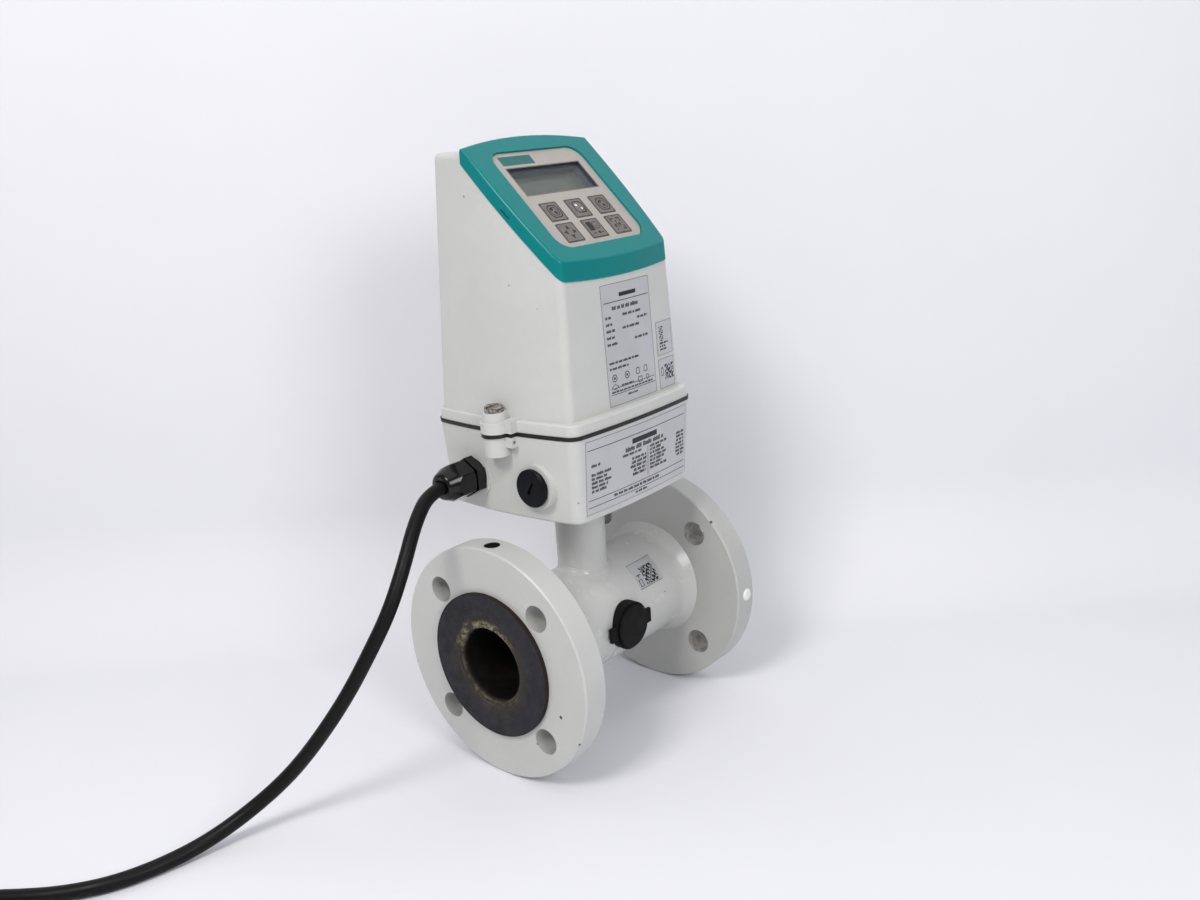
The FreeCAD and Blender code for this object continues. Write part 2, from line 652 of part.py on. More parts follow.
def make_sensor_tube():
    """Measuring tube and its lining, both drilled for the electrodes."""
    tube = turned("tube_turn", [("0", PIPE_BORE), ("body_length", PIPE_BORE),
                                ("body_length", PIPE_RADIUS), ("0", PIPE_RADIUS)])
    clearance = "electrode_stem / 2 + electrode_gap"
    across = cylinder("tube_electrode_hole", clearance, "pipe_diameter + 2",
                      "neck_x", PIPE_RADIUS + " + 1", "0", FRONT_FROM_UP)
    down = cylinder("tube_ground_hole", clearance, PIPE_RADIUS + " + 1", "ground_position", "0",
                    "-%s - 1" % PIPE_RADIUS)
    keep("measuring_tube", cut("measuring_tube", tube, fuse("tube_holes", across, down)))

    lining = turned("liner_turn", [
        ("-liner_lip", "bore_mouth / 2"), ("mouth_depth", "bore_mouth / 2"),
        ("neck_x - throat_length / 2", "bore_throat / 2"), ("neck_x + throat_length / 2", "bore_throat / 2"),
        ("body_length - mouth_depth", "bore_mouth / 2"), ("body_length + liner_lip", "bore_mouth / 2"),
        ("body_length + liner_lip", "liner_ring / 2"), ("body_length", "liner_ring / 2"),
        ("body_length", PIPE_BORE), ("0", PIPE_BORE), ("0", "liner_ring / 2"),
        ("-liner_lip", "liner_ring / 2")])
    doc.recompute()
    ends = (value("-liner_lip"), value("body_length + liner_lip"))
    mouth = is_round("bore_mouth / 2")
    at_end = lambda edge: min(abs(edge.BoundBox.XMin - end) for end in ends) < 1e-4
    mouths = dress(lining, "Fillet", lining.Tip, lambda edge: mouth(edge) and at_end(edge), "mouth_round")
    lining.Tip = mouths
    stems = cylinder("liner_electrode_hole", "electrode_stem / 2", "pipe_diameter", "neck_x",
                     PIPE_RADIUS, "0", FRONT_FROM_UP)
    heads = cylinder("liner_head_seat", "electrode_head / 2", "bore_throat + 2", "neck_x",
                     "bore_throat / 2 + 1", "0", FRONT_FROM_UP)
    ground = cylinder("liner_ground_hole", "electrode_stem / 2", PIPE_RADIUS, "ground_position", "0",
                      "-" + PIPE_RADIUS)
    ground_seat = cylinder("liner_ground_seat", "electrode_head / 2", GROUND_BORE + " + 1", "ground_position",
                           "0", "-%s - 1" % GROUND_BORE)
    keep("liner", cut("liner", lining, fuse("liner_holes", stems, heads, ground, ground_seat)))


GROUND_BORE = ("(bore_mouth / 2 - (bore_mouth - bore_throat) / 2 * (ground_position - mouth_depth)"
               " / (neck_x - throat_length / 2 - mouth_depth))")


def electrode(name, head_from, stem_to):
    """A headed pin along its own X axis."""
    return turned(name, [(head_from, "0"), (stem_to, "0"), (stem_to, "electrode_stem / 2"),
                         (head_from + " + electrode_proud + 1", "electrode_stem / 2"),
                         (head_from + " + electrode_proud + 1", "electrode_head / 2"),
                         (head_from, "electrode_head / 2")])


def make_electrodes():
    head_from = "bore_throat / 2 - electrode_proud"
    pair = []
    for name, turn in (("front_electrode", FRONT_FROM_X), ("rear_electrode", BACK_FROM_X)):
        headed = electrode(name, head_from, "port_reach - port_cover")
        pair.append(put(headed, "neck_x", "0", "0", *turn))
    keep("measuring_electrodes", group("measuring_electrodes", *pair))
    ground = electrode("ground_electrode", GROUND_BORE + " - electrode_proud", JACKET_BORE + " - 1")
    keep("ground_electrode", put(ground, "ground_position", "0", "0", (0, 1, 0), 90))
    nuts = []
    for name, turn in (("front", (1, 0, 0)), ("rear", (-1, 0, 0))):
        nut = doc.addObject("Part::Prism", name + "_nut_blank")
        nut.Polygon = 6
        nut.setExpression("Circumradius", bind("electrode_nut / sqrt(3)"))
        nut.setExpression("Height", bind("electrode_nut_height"))
        side = "-" if name == "front" else ""
        put(nut, "neck_x", side + PIPE_RADIUS, "0", turn, 90)
        hole = cylinder(name + "_nut_hole", "electrode_stem / 2", "jacket_diameter", "neck_x",
                        JACKET_RADIUS, "0", FRONT_FROM_UP)
        nuts.append(cut(name + "_nut", nut, hole))
    keep("electrode_nuts", group("electrode_nuts", *nuts))


# ---- coil housing, coils and neck ------------------------------------------------------------

def ring(name, inner, outer, start, length):
    """A tube along the pipe axis."""
    return cut(name, cylinder(name + "_outer", outer, length, start, "0", "0", X_FROM_UP),
               cylinder(name + "_inner", inner, "%s + 2" % length, "%s - 1" % start, "0", "0", X_FROM_UP))


def make_coils():
    """Two saddle coils with pole shoes in their windows, and the return plate round them."""
    start = "(neck_x - coil_length / 2)"
    coils = []
    shoes = []
    for node, low in (("upper", "0"), ("lower", "-jacket_diameter")):
        shell = ring(node + "_coil_shell", PIPE_RADIUS, COIL_RADIUS, start, "coil_length")
        outline = rectangle("coil_length / 2", "-coil_width / 2", "coil_width / 2")
        frame = plate(node + "_coil_frame", outline, "jacket_diameter", corner="coil_limb")
        put(frame, "neck_x", "0", low)
        window = ("coil_length - 2 * coil_limb", "coil_width - 2 * coil_limb", "jacket_diameter")
        opening = block(node + "_coil_window", window, start + " + coil_limb",
                        "-coil_width / 2 + coil_limb", low)
        wound = cut(node + "_coil_winding", frame, opening)
        coils.append(common(node + "_coil", shell, wound))
        shoe_size = ("coil_length - 2 * coil_limb - 2 * pole_gap",
                     "coil_width - 2 * coil_limb - 2 * pole_gap", "jacket_diameter")
        shoe = block(node + "_shoe_block", shoe_size, start + " + coil_limb + pole_gap",
                     "-coil_width / 2 + coil_limb + pole_gap", low)
        shoes.append(common(node + "_pole_shoe", shell, shoe))
    keep("field_coils", group("field_coils", *coils))
    keep("pole_shoes", group("pole_shoes", *shoes))
    yoke = "(%s + yoke_gap)" % COIL_RADIUS
    wrap = ring("yoke_wrap", yoke, yoke + " + yoke_thickness", start, "coil_length")
    sides = cylinder("yoke_port_hole", "port_diameter / 2 - 2", "jacket_diameter", "neck_x",
                     JACKET_RADIUS, "0", FRONT_FROM_UP)
    top = cylinder("yoke_neck_hole", "neck_diameter / 3", JACKET_RADIUS, "neck_x")
    keep("magnet_yoke", cut("magnet_yoke", wrap, fuse("yoke_holes", sides, top)))


def make_jacket():
    """Welded coil housing, swelling at the flanges, with a service port at each electrode."""
    left = "flange_thickness"
    right = "(body_length - flange_thickness)"
    swell = JACKET_RADIUS + " + jacket_flare"
    shell = turned("jacket_turn", [
        (left, PIPE_RADIUS), (left + " + jacket_wall", PIPE_RADIUS),
        (left + " + jacket_wall", JACKET_BORE), (right + " - jacket_wall", JACKET_BORE),
        (right + " - jacket_wall", PIPE_RADIUS), (right, PIPE_RADIUS),
        (right, swell), (right + " - jacket_flare_length", JACKET_RADIUS),
        (left + " + jacket_flare_length", JACKET_RADIUS), (left, swell)])
    doc.recompute()
    shell.Tip = dress(shell, "Fillet", shell.Tip, is_round(JACKET_RADIUS), "jacket_flare_round")
    port = cylinder("jacket_port", "port_diameter / 2", "2 * port_reach", "neck_x", "port_reach", "0",
                    FRONT_FROM_UP)
    hollow = cylinder("jacket_hollow", JACKET_BORE, "port_diameter + 2", "neck_x - port_diameter / 2 - 1",
                      "0", "0", X_FROM_UP)
    bore = cylinder("jacket_port_bore", "port_diameter / 2 - jacket_wall", "2 * port_reach + 2", "neck_x",
                    "port_reach + 1", "0", FRONT_FROM_UP)
    wires = cylinder("jacket_wire_hole", "neck_diameter / 2 - 2 * neck_wall", "jacket_diameter", "neck_x")
    ports = cut("jacket_ports", port, hollow)
    welded = fuse("jacket_welded", shell, ports)
    keep("coil_housing", cut("coil_housing", welded, fuse("jacket_holes", bore, wires)))


def make_caps():
    """Caps over the service ports, each with two finger tabs, a spigot and a skirt down to the housing."""
    caps = []
    rim = "(port_reach + cap_rim)"
    skirt_end = "(%s - 2 * cap_rim)" % JACKET_RADIUS
    skirt_bore = "port_diameter / 2 + thread_gap"
    jacket = cylinder("cap_jacket", JACKET_RADIUS + " + thread_gap", "2 * cap_tab_span",
                      "neck_x - cap_tab_span", "0", "0", X_FROM_UP)
    for name, turn in (("front_cap", FRONT_FROM_X), ("rear_cap", BACK_FROM_X)):
        body = turned(name + "_turn", [
            ("port_reach - cap_rim", "0"), (rim + " + cap_crown_height", "0"),
            (rim + " + cap_crown_height", "cap_crown / 2 - cap_bevel"),
            (rim + " + cap_crown_height - cap_bevel", "cap_crown / 2"),
            (rim, "cap_crown / 2"), (rim, "cap_diameter / 2"), (skirt_end, "cap_diameter / 2"),
            (skirt_end, skirt_bore), ("port_reach", skirt_bore),
            ("port_reach", "port_diameter / 2 - jacket_wall"),
            ("port_reach - cap_rim", "port_diameter / 2 - jacket_wall")])
        tabs = block(name + "_tabs", ("cap_rim", "cap_tab_span", "cap_tab_width"))
        put(tabs, "port_reach", "-cap_tab_span / 2", "-cap_tab_width / 2")
        pot = put(fuse(name + "_pot", body, tabs), "neck_x", "0", "0", *turn)
        caps.append(cut(name, pot, jacket))
    keep("port_caps", group("port_caps", *caps))


def make_neck():
    """Neck tube coped to the coil housing, with the square plate that carries the box."""
    tube = cylinder("neck_outside", "neck_diameter / 2", "box_bottom", "neck_x")
    square = plate("neck_square", rectangle("neck_plate / 2", "-neck_plate / 2", "neck_plate / 2"),
                   "neck_plate_thickness", corner="neck_screw_head")
    put(square, "neck_x", "0", "box_bottom - neck_plate_thickness")
    bore = cylinder("neck_bore", "neck_diameter / 2 - neck_wall", "box_bottom + 1", "neck_x")
    saddle = cylinder("neck_saddle", JACKET_RADIUS, "2 * neck_diameter", "neck_x - neck_diameter", "0", "0",
                      X_FROM_UP)
    taps = screw_row("neck_tap", "neck_screw / 2", "neck_plate_thickness + 1",
                     "box_bottom - neck_plate_thickness")
    keep("neck", cut("neck", fuse("neck_blank", tube, square), fuse("neck_holes", bore, saddle, *taps)))


def screw_row(name, radius, height, level):
    """Four upright cylinders at the neck plate's screws."""
    rods = []
    for number, (right, back) in enumerate(((1, 1), (1, -1), (-1, 1), (-1, -1))):
        rods.append(cylinder("%s_%d" % (name, number), radius, height,
                             "neck_x + %d * neck_screw_spacing / 2" % right,
                             "%d * neck_screw_spacing / 2" % back, level))
    return rods


def make_neck_screws():
    shanks = screw_row("neck_screw_shank", "neck_screw / 2", "box_floor + neck_plate_thickness",
                       "box_bottom - neck_plate_thickness")
    heads = screw_row("neck_screw_top", "neck_screw_head / 2", "neck_screw_height", BOX_INSIDE)
    sockets = screw_row("neck_screw_socket", "neck_screw_head / 4", "neck_screw_height",
                        BOX_INSIDE + " + neck_screw_height / 2")
    screws = [cut("neck_screw_%d" % number, fuse("neck_screw_blank_%d" % number, shank, head), socket)
              for number, (shank, head, socket) in enumerate(zip(shanks, heads, sockets))]
    keep("neck_screws", group("neck_screws", *screws))


# ---- terminal box ----------------------------------------------------------------------------

def beside(name, maker, sides=(-1, 1)):
    """Make the same thing on the left and on the right of the neck."""
    return [maker("%s_%s" % (name, "left" if side < 0 else "right"), side) for side in sides]


def screw_cylinder(name, side, radius, low, high):
    return cylinder(name, radius, "(%s) - (%s)" % (high, low), "neck_x + %d * screw_reach" % side,
                    "screw_offset", low)


def entry_cylinder(name, side, y, radius, inner, outer):
    """A cylinder along the pipe at a cable entry, between two half widths."""
    length = "(%s) - (%s)" % (outer, inner)
    start = "neck_x + %s" % inner if side > 0 else "neck_x - (%s)" % outer
    return cylinder(name, radius, length, start, y, "entry_level", X_FROM_UP)


def make_terminal_box():
    outside = drafted("box_outside", BOX_PLAN, "box_bottom", "gasket_level", foot="box_foot_round")
    inside = drafted("box_inside", BOX_PLAN, BOX_INSIDE, "gasket_level + 1", "-box_wall")
    added = beside("box_foot", lambda name, side: screw_cylinder(
        name, side, "screw_foot", "foot_bottom", "gasket_level"))
    holes = beside("box_screw_hole", lambda name, side: screw_cylinder(
        name, side, "screw_shank / 2", "screw_end - 1", "gasket_level + 1"))
    for place, y in (("front", FRONT_ENTRY), ("rear", REAR_ENTRY)):
        added += beside("box_ring_" + place, lambda name, side: entry_cylinder(
            name, side, y, "entry_boss / 2", "entry_root", "entry_face"))
        holes += beside("box_entry_" + place, lambda name, side: entry_cylinder(
            name, side, y, "entry_bore / 2", "entry_root - 2", "entry_face + 2"))
    added.append(seal_lug("box_seal_lug", "seal_lug_height", "gasket_level - seal_lug_height"))
    holes.append(cylinder("box_seal_eye", "seal_eye / 2", "3 * seal_lug_width",
                          "neck_x - seal_lug_reach + seal_eye", "seal_lug_y + 2 * seal_lug_width",
                          "gasket_level - seal_lug_height / 2", FRONT_FROM_UP))
    for number, (x, y) in enumerate(link_posts()):
        added.append(cylinder("box_post_%d" % number, "link_post / 2", "link_post_height + 1", x, y,
                              BOX_INSIDE + " - 1"))
    holes.append(cylinder("box_wire_hole", "neck_diameter / 2 - neck_wall", "3 * box_floor", "neck_x", "0",
                          "box_bottom - box_floor"))
    holes += screw_row("box_floor_hole", "neck_screw / 2", "3 * box_floor", "box_bottom - box_floor")
    tub = cut("box_tub", outside, inside)
    keep("terminal_box", cut("terminal_box", fuse("box_joined", tub, *added), fuse("box_holes", *holes)))


def seal_lug(name, height, bottom):
    """Lug beside the left cover screw, where a seal wire goes through."""
    return block(name, ("seal_lug_reach - box_front_half", "seal_lug_width", height),
                 "neck_x - seal_lug_reach", "seal_lug_y", bottom)


def link_posts():
    """Places of the posts under the connection board."""
    along = "(link_circuit_length / 2 - link_post / 2)"
    across = "(link_circuit_width / 2 - link_post / 2)"
    return [("neck_x %s %s" % (right, along), "entry_centre %s %s" % (back, across))
            for right in "+-" for back in "+-"]


def make_gasket():
    outside = drafted("gasket_outside", BOX_PLAN, "gasket_level", SEAL_TOP, "gasket_bulge")
    inside = drafted("gasket_inside", BOX_PLAN, "gasket_level - 1", SEAL_TOP + " + 1", "-gasket_width")
    discs = beside("gasket_disc", lambda name, side: screw_cylinder(
        name, side, "screw_pad", "gasket_level", SEAL_TOP))
    holes = beside("gasket_hole", lambda name, side: screw_cylinder(
        name, side, "screw_shank / 2", "gasket_level - 1", SEAL_TOP + " + 1"))
    discs.append(seal_lug("gasket_seal_lug", "gasket_thickness", "gasket_level"))
    band = cut("gasket_band", outside, inside)
    keep("box_gasket", cut("box_gasket", fuse("gasket_joined", band, *discs), fuse("gasket_holes", *holes)))


def make_link_board():
    """Connection board on its posts, with terminal blocks, memory module, socket and earth terminal."""
    board = plate("link_sheet", rectangle("link_circuit_length / 2", "-link_circuit_width / 2",
                                          "link_circuit_width / 2"), "circuit_thickness", corner="2")
    keep("connection_board", put(board, "neck_x", "entry_centre", LINK_CIRCUIT))
    blocks = []
    for place, y in (("front", FRONT_ENTRY), ("rear", REAR_ENTRY)):
        housing = block(place + "_clamp_housing", ("clamp_length", "clamp_width", "clamp_height"),
                        "neck_x - clamp_length / 2", y + " - clamp_width / 2", LINK_TOP)
        wells = []
        for way in range(int(value("clamp_ways"))):
            middle = "neck_x - clamp_length / 2 + clamp_length / clamp_ways * (%d + 1 / 2)" % way
            wells.append(cylinder("%s_well_%d" % (place, way), "clamp_screw / 2", "clamp_height / 2",
                                  middle, y, LINK_TOP + " + 2 * clamp_height / 3"))
        blocks.append(cut(place + "_clamps", housing, fuse(place + "_wells", *wells)))
    keep("terminal_blocks", group("terminal_blocks", *blocks))
    keep("memory_module", block("memory_module", ("memory_length", "memory_width", "memory_height"),
                                "neck_x - memory_length / 2", "entry_centre + 2", LINK_TOP))
    keep("board_socket", block("board_socket", ("plug_length", "plug_width", "plug_join - %s" % LINK_TOP),
                               "neck_x - plug_length / 2", "plug_y - plug_width / 2", LINK_TOP))
    stud = turned("earth_terminal", [
        ("0", "0"), ("2 * earth_stud", "0"), ("2 * earth_stud", "earth_stud / 2"),
        ("earth_stud", "earth_stud / 2"), ("earth_stud", "earth_nut / 2"),
        ("earth_stud / 3", "earth_nut / 2"), ("earth_stud / 3", "earth_washer / 2"),
        ("0", "earth_washer / 2")])
    put(stud, "neck_x + link_circuit_length / 3", "entry_centre + link_circuit_width / 2 + earth_washer",
        BOX_INSIDE, *UP_FROM_X)
    keep("earth_terminal", stud)


def make_wires():
    """Supply wires from the gland to the rear block, and sensor leads up the neck."""
    supply = []
    for number, (y, z) in enumerate(core_places()):
        supply.append(cylinder("supply_wire_%d" % number, "core_diameter / 2",
                               "neck_x - clamp_length / 2 - (%s)" % CABLE_START, CABLE_START,
                               "%s + %s" % (REAR_ENTRY, y), "entry_level + %s" % z, X_FROM_UP))
    keep("supply_wires", group("supply_wires", *supply))
    low = "(%s + yoke_thickness)" % COIL_RADIUS
    leads = [cylinder("sensor_lead_%d" % number, "core_diameter / 2", "%s - %s" % (LINK_CIRCUIT, low),
                      "neck_x + %d * (core_diameter + wire_gap)" % number, "0", low)
             for number in (-1, 0, 1)]
    keep("sensor_leads", group("sensor_leads", *leads))


def core_places():
    """Offsets of the three wires round the cable's axis."""
    return [("core_diameter * %.4f" % (0.6 * math.cos(math.radians(turn))),
             "core_diameter * %.4f" % (0.6 * math.sin(math.radians(turn)))) for turn in (90, 210, 330)]


# ---- cable gland and blanking plugs ----------------------------------------------------------

def hexagon(name, flats, length, x="0"):
    """A six-sided bar along its own X axis."""
    bar = doc.addObject("Part::Prism", name)
    bar.Polygon = 6
    bar.setExpression("Circumradius", bind("(%s) / sqrt(3)" % flats))
    bar.setExpression("Height", bind(length))
    return put(bar, x, "0", "0", *X_FROM_UP)


def make_gland():
    """Gland body, locknut, sealing sleeve and dome nut on the rear left entry, pointing left."""
    at_entry = (GLAND_FACE, REAR_ENTRY, "entry_level")
    flange_hex = hexagon("gland_hex", "gland_flange", "gland_flange_length")
    stem = turned("gland_stem", [
        ("-gland_thread_length", "gland_throat / 2"), (CLAW_END, "gland_throat / 2"),
        (CLAW_END, "claw_diameter / 2"), ("1", "claw_diameter / 2"),
        ("1", "gland_thread / 2"), ("-gland_thread_length", "gland_thread / 2")])
    bore = cylinder("gland_bore", "gland_throat / 2", "4 * gland_thread_length", "-gland_thread_length",
                    "0", "0", X_FROM_UP)
    body = cut("gland_body", fuse("gland_joined", flange_hex, stem), bore)
    keep("gland_body", put(body, *at_entry, *LEFT_FROM_X))

    nut_from = "(gland_flange_length + gland_cone_length - dome_nut_lap)"
    nut_to = "(%s + dome_nut_length)" % nut_from
    corners = "dome_nut / sqrt(3) - nut_corner"
    bar = hexagon("dome_nut_bar", "dome_nut", "dome_nut_length", nut_from)
    envelope = turned("dome_nut_envelope", [
        (nut_from, "claw_diameter / 2 + thread_gap"), (CLAW_END, "claw_diameter / 2 + thread_gap"),
        (CLAW_END, "cable_diameter / 2 + thread_gap"), (nut_to, "cable_diameter / 2 + thread_gap"),
        (nut_to, "dome_nut_end / 2"), (nut_from + " + dome_nut_grip", corners),
        (nut_from + " + edge_bevel", corners), (nut_from, corners + " - edge_bevel")])
    doc.recompute()
    envelope.Tip = dress(envelope, "Fillet", envelope.Tip, is_round("dome_nut_end / 2"), "dome_nut_round")
    keep("gland_nut", put(common("gland_nut", bar, envelope), *at_entry, *LEFT_FROM_X))

    sleeve = turned("gland_seal", [
        (CLAW_END + " - seal_length", "cable_diameter / 2"), (CLAW_END, "cable_diameter / 2"),
        (CLAW_END, "gland_throat / 2"), (CLAW_END + " - seal_length", "gland_throat / 2")])
    keep("gland_seal", put(sleeve, *at_entry, *LEFT_FROM_X))

    locknut_bar = hexagon("locknut_bar", "locknut", "locknut_length", "neck_x - entry_root")
    put(locknut_bar, "neck_x - entry_root", REAR_ENTRY, "entry_level", *X_FROM_UP)
    locknut_bore = cylinder("locknut_bore", "gland_thread / 2", "4 * locknut_length",
                            "neck_x - entry_root - locknut_length", REAR_ENTRY, "entry_level", X_FROM_UP)
    keep("gland_locknut", cut("gland_locknut", locknut_bar, locknut_bore))


def make_entry_plugs():
    """Slotted blanking plugs in the three free entries, and the washers under plugs and gland."""
    plugs = []
    washers = []
    lean = "plug_slot_turn * 1 deg"
    places = (("front_left", -1, FRONT_ENTRY), ("front_right", 1, FRONT_ENTRY), ("rear_right", 1, REAR_ENTRY),
              ("rear_left", -1, REAR_ENTRY))
    for place, side, y in places:
        x = "neck_x + %d * entry_face" % side
        turn = LEFT_FROM_X if side < 0 else ((1, 0, 0), 0)
        washer = turned("washer_" + place, [
            ("0", "gland_thread / 2"), ("plug_seal", "gland_thread / 2"),
            ("plug_seal", "plug_seal_diameter / 2"), ("0", "plug_seal_diameter / 2")])
        washers.append(put(washer, x, y, "entry_level", *turn))
        if place == "rear_left":
            continue
        head_top = "(plug_seal + plug_head_height)"
        blank = turned("plug_turn_" + place, [
            ("-gland_thread_length", "0"), (head_top, "0"), (head_top, "plug_head / 2 - edge_bevel"),
            (head_top + " - edge_bevel", "plug_head / 2"), ("plug_seal", "plug_head / 2"),
            ("plug_seal", "gland_thread / 2"), ("-gland_thread_length", "gland_thread / 2")])
        slot = block("plug_slot_" + place, ("2 * plug_slot_depth", "plug_slot_width", "plug_slot_length"))
        put(slot, head_top + " - plug_slot_depth",
            "-plug_slot_length / 2 * sin(%s) - plug_slot_width / 2 * cos(%s)" % (lean, lean),
            "-plug_slot_length / 2 * cos(%s) + plug_slot_width / 2 * sin(%s)" % (lean, lean),
            (-1, 0, 0), value("plug_slot_turn"))
        plugs.append(put(cut("plug_" + place, blank, slot), x, y, "entry_level", *turn))
    keep("blanking_plugs", group("blanking_plugs", *plugs))
    keep("entry_washers", group("entry_washers", *washers))


# ---- transmitter -----------------------------------------------------------------------------

LIP_PLAN = dict(BOX_PLAN, widens="1")


def base_posts():
    """Places of the housing's corner posts and base plate screws."""
    return [("neck_x %s base_screw_%s_half" % (right, place), sign + "base_screw_" + place)
            for right in "+-" for place, sign in (("front", "-"), ("rear", ""))]


def make_housing():
    """Drafted shell with a lip, cut off by the slanted face and open at the bottom."""
    lip = drafted("lip", LIP_PLAN, SEAL_TOP, "lip_top", crown="lip_round")
    walls = drafted("walls", SHELL_PLAN, SEAL_TOP, "shell_top", crown="shell_crown_round")
    pads = beside("pad", lambda name, side: screw_cylinder(name, side, "screw_pad", SEAL_TOP, "lip_top"))
    towers = beside("tower", lambda name, side: screw_cylinder(
        name, side, "screw_tower", SEAL_TOP, "tower_top"))
    webs = beside("web", lambda name, side: block(
        name, ("screw_reach - shell_front_half", "screw_web", "tower_top - lip_top + edge_bevel"),
        "neck_x + %s" % ("shell_front_half" if side > 0 else "-screw_reach"), "screw_offset - screw_web / 2",
        "lip_top - 2 * edge_bevel"))
    lug = seal_lug("housing_seal_lug", "seal_lug_rise", SEAL_TOP)
    solid = fuse("housing_solid", lip, walls, lug, *pads, *towers, *webs)
    faced = cut("housing_faced", solid, face_block("bezel_room", "-bezel_depth", "shell_top"))
    hollow = drafted("hollow", SHELL_PLAN, "gasket_level", "shell_top - shell_wall", "-shell_wall")
    wall = face_block("face_wall", "-bezel_depth - shell_wall", "shell_top", cut_back=False)
    shell = cut("housing_shell", faced, cut("hollow_faced", hollow, wall))
    posts = [cylinder("housing_post_%d" % number, "base_post / 2", "2 * base_post", x, y, BASE_TOP)
             for number, (x, y) in enumerate(base_posts())]
    holes = [cylinder("housing_post_hole_%d" % number, "base_screw / 2", "base_post", x, y, BASE_TOP)
             for number, (x, y) in enumerate(base_posts())]
    holes += beside("tower_hole", lambda name, side: screw_cylinder(
        name, side, "screw_shank / 2 + thread_gap", "gasket_level", "tower_top + 1"))
    opening = block("face_opening", ("2 * (panel_half_width - panel_ledge)",
                                     "panel_high - panel_low - 2 * panel_ledge", "4 * bezel_depth"))
    put_on_face(opening, "-(panel_half_width - panel_ledge)", "panel_low + panel_ledge", "-3 * bezel_depth")
    keep("transmitter_housing", cut("transmitter_housing", fuse("housing_joined", shell, *posts),
                                    fuse("housing_holes", opening, *holes)))


def make_bezel():
    """Frame that wraps the slanted end of the housing and carries the panel on a ledge."""
    outside = drafted("bezel_outside", SHELL_PLAN, "face_z - 4 * bezel_depth",
                      "shell_top + 2 * bezel_depth", "bezel_proud")
    frame = new_body("bezel_frame")
    frame.BaseFeature = common("bezel_blank", outside, face_block("bezel_slab", "-bezel_depth", "0"))
    doc.recompute()
    frame.Tip = dress(frame, "Fillet", frame.Tip, lies_on_face, "bezel_edge_round")
    corners = rectangle("panel_half_width + panel_gap", "panel_low - panel_gap", "panel_high + panel_gap")
    recess = plate("panel_recess", corners, "2 * bezel_depth", corner="panel_corner")
    put_on_face(recess, "0", "0", PANEL_BACK)
    through = plate("panel_through", rectangle("panel_half_width - panel_ledge", "panel_low + panel_ledge",
                                               "panel_high - panel_ledge"), "4 * bezel_depth",
                    corner="panel_corner - panel_ledge")
    put_on_face(through, "0", "0", "-2 * bezel_depth")
    keep("bezel", cut("bezel", frame, fuse("bezel_openings", recess, through)))


KEYS = [("key_%s_%s" % (row, column), "%d * key_pitch" % step, "key_row_" + level)
        for row, level in (("upper", "high"), ("lower", "low"))
        for column, step in (("left", -1), ("centre", 0), ("right", 1))]


def lies_on_face(edge):
    """True on an edge in the plane of the slanted face."""
    slope = math.radians(value("face_angle"))
    points = [edge.valueAt(edge.FirstParameter), edge.valueAt(edge.LastParameter), edge.CenterOfMass]
    heights = [(point.z - value("face_z")) * math.cos(slope) - (point.y - value("face_y")) * math.sin(slope)
               for point in points]
    return max(abs(height) for height in heights) < 1e-4


def key_block(name, grow, low, high, across, up, corner=None):
    """A plate round a key's place, in the face's own measure."""
    half_height = "(key_height / 2 + %s)" % grow
    outline = rectangle("key_width / 2 + %s" % grow, "-" + half_height, half_height)
    body = plate(name, outline, "(%s) - (%s)" % (high, low), corner=corner)
    return put_on_face(body, across, up, low)


def make_panel():
    """Keypad panel with its openings and the posts that carry the display board."""
    sheet_body = plate("panel_sheet", rectangle("panel_half_width", "panel_low", "panel_high"),
                       "panel_thickness", corner="panel_corner")
    put_on_face(sheet_body, "0", "0", PANEL_BACK)
    holes = [key_block(node + "_hole", "key_gap", "2 * %s" % PANEL_BACK, "0", across, up, "key_corner")
             for node, across, up in KEYS]
    window = block("panel_window", ("2 * window_half_width", "window_high - window_low",
                                    "4 * panel_thickness"))
    holes.append(put_on_face(window, "-window_half_width", "window_low", "2 * %s" % PANEL_BACK))
    posts = []
    for number, (across, up) in enumerate(panel_posts()):
        post = doc.addObject("Part::Cylinder", "panel_post_%d" % number)
        post.setExpression("Radius", bind("post_diameter / 2"))
        post.setExpression("Height", bind("%s - %s" % (PANEL_BACK, CIRCUIT_FRONT)))
        posts.append(put_on_face(post, across, up, CIRCUIT_FRONT))
    joined = fuse("panel_joined", sheet_body, *posts)
    keep("front_panel", cut("front_panel", joined, fuse("panel_holes", *holes)))

    pane = block("display_window", ("2 * (window_half_width + window_lap)",
                                    "window_high - window_low + 2 * window_lap", "window_thickness"))
    keep("display_window", put_on_face(pane, "-(window_half_width + window_lap)", "window_low - window_lap",
                                       "%s - window_thickness" % PANEL_BACK))


def panel_posts():
    """Places of the panel's posts, in its corners."""
    inset = "(panel_ledge + panel_gap + post_diameter / 2)"
    return [(sign + "post_across", up) for sign in ("", "-")
            for up in ("panel_low + " + inset, "panel_high - " + inset)]


def make_keys():
    """Six keys, each held behind the panel by its foot, with a dome on the board under each."""
    domes = []
    for node, across, up in KEYS:
        cap = key_block(node + "_cap", "0", KEY_BOTTOM, "-panel_sunk + key_proud", across, up, "key_corner")
        foot = key_block(node + "_foot", "key_foot_lap", KEY_BOTTOM, "%s + key_foot" % KEY_BOTTOM, across, up)
        keep(node, fuse(node, cap, foot))
        dome = doc.addObject("Part::Cylinder", node + "_dome")
        dome.setExpression("Radius", bind("dome_diameter / 2"))
        dome.setExpression("Height", bind("dome_height"))
        domes.append(put_on_face(dome, across, up, CIRCUIT_FRONT))
    keep("key_domes", group("key_domes", *domes))


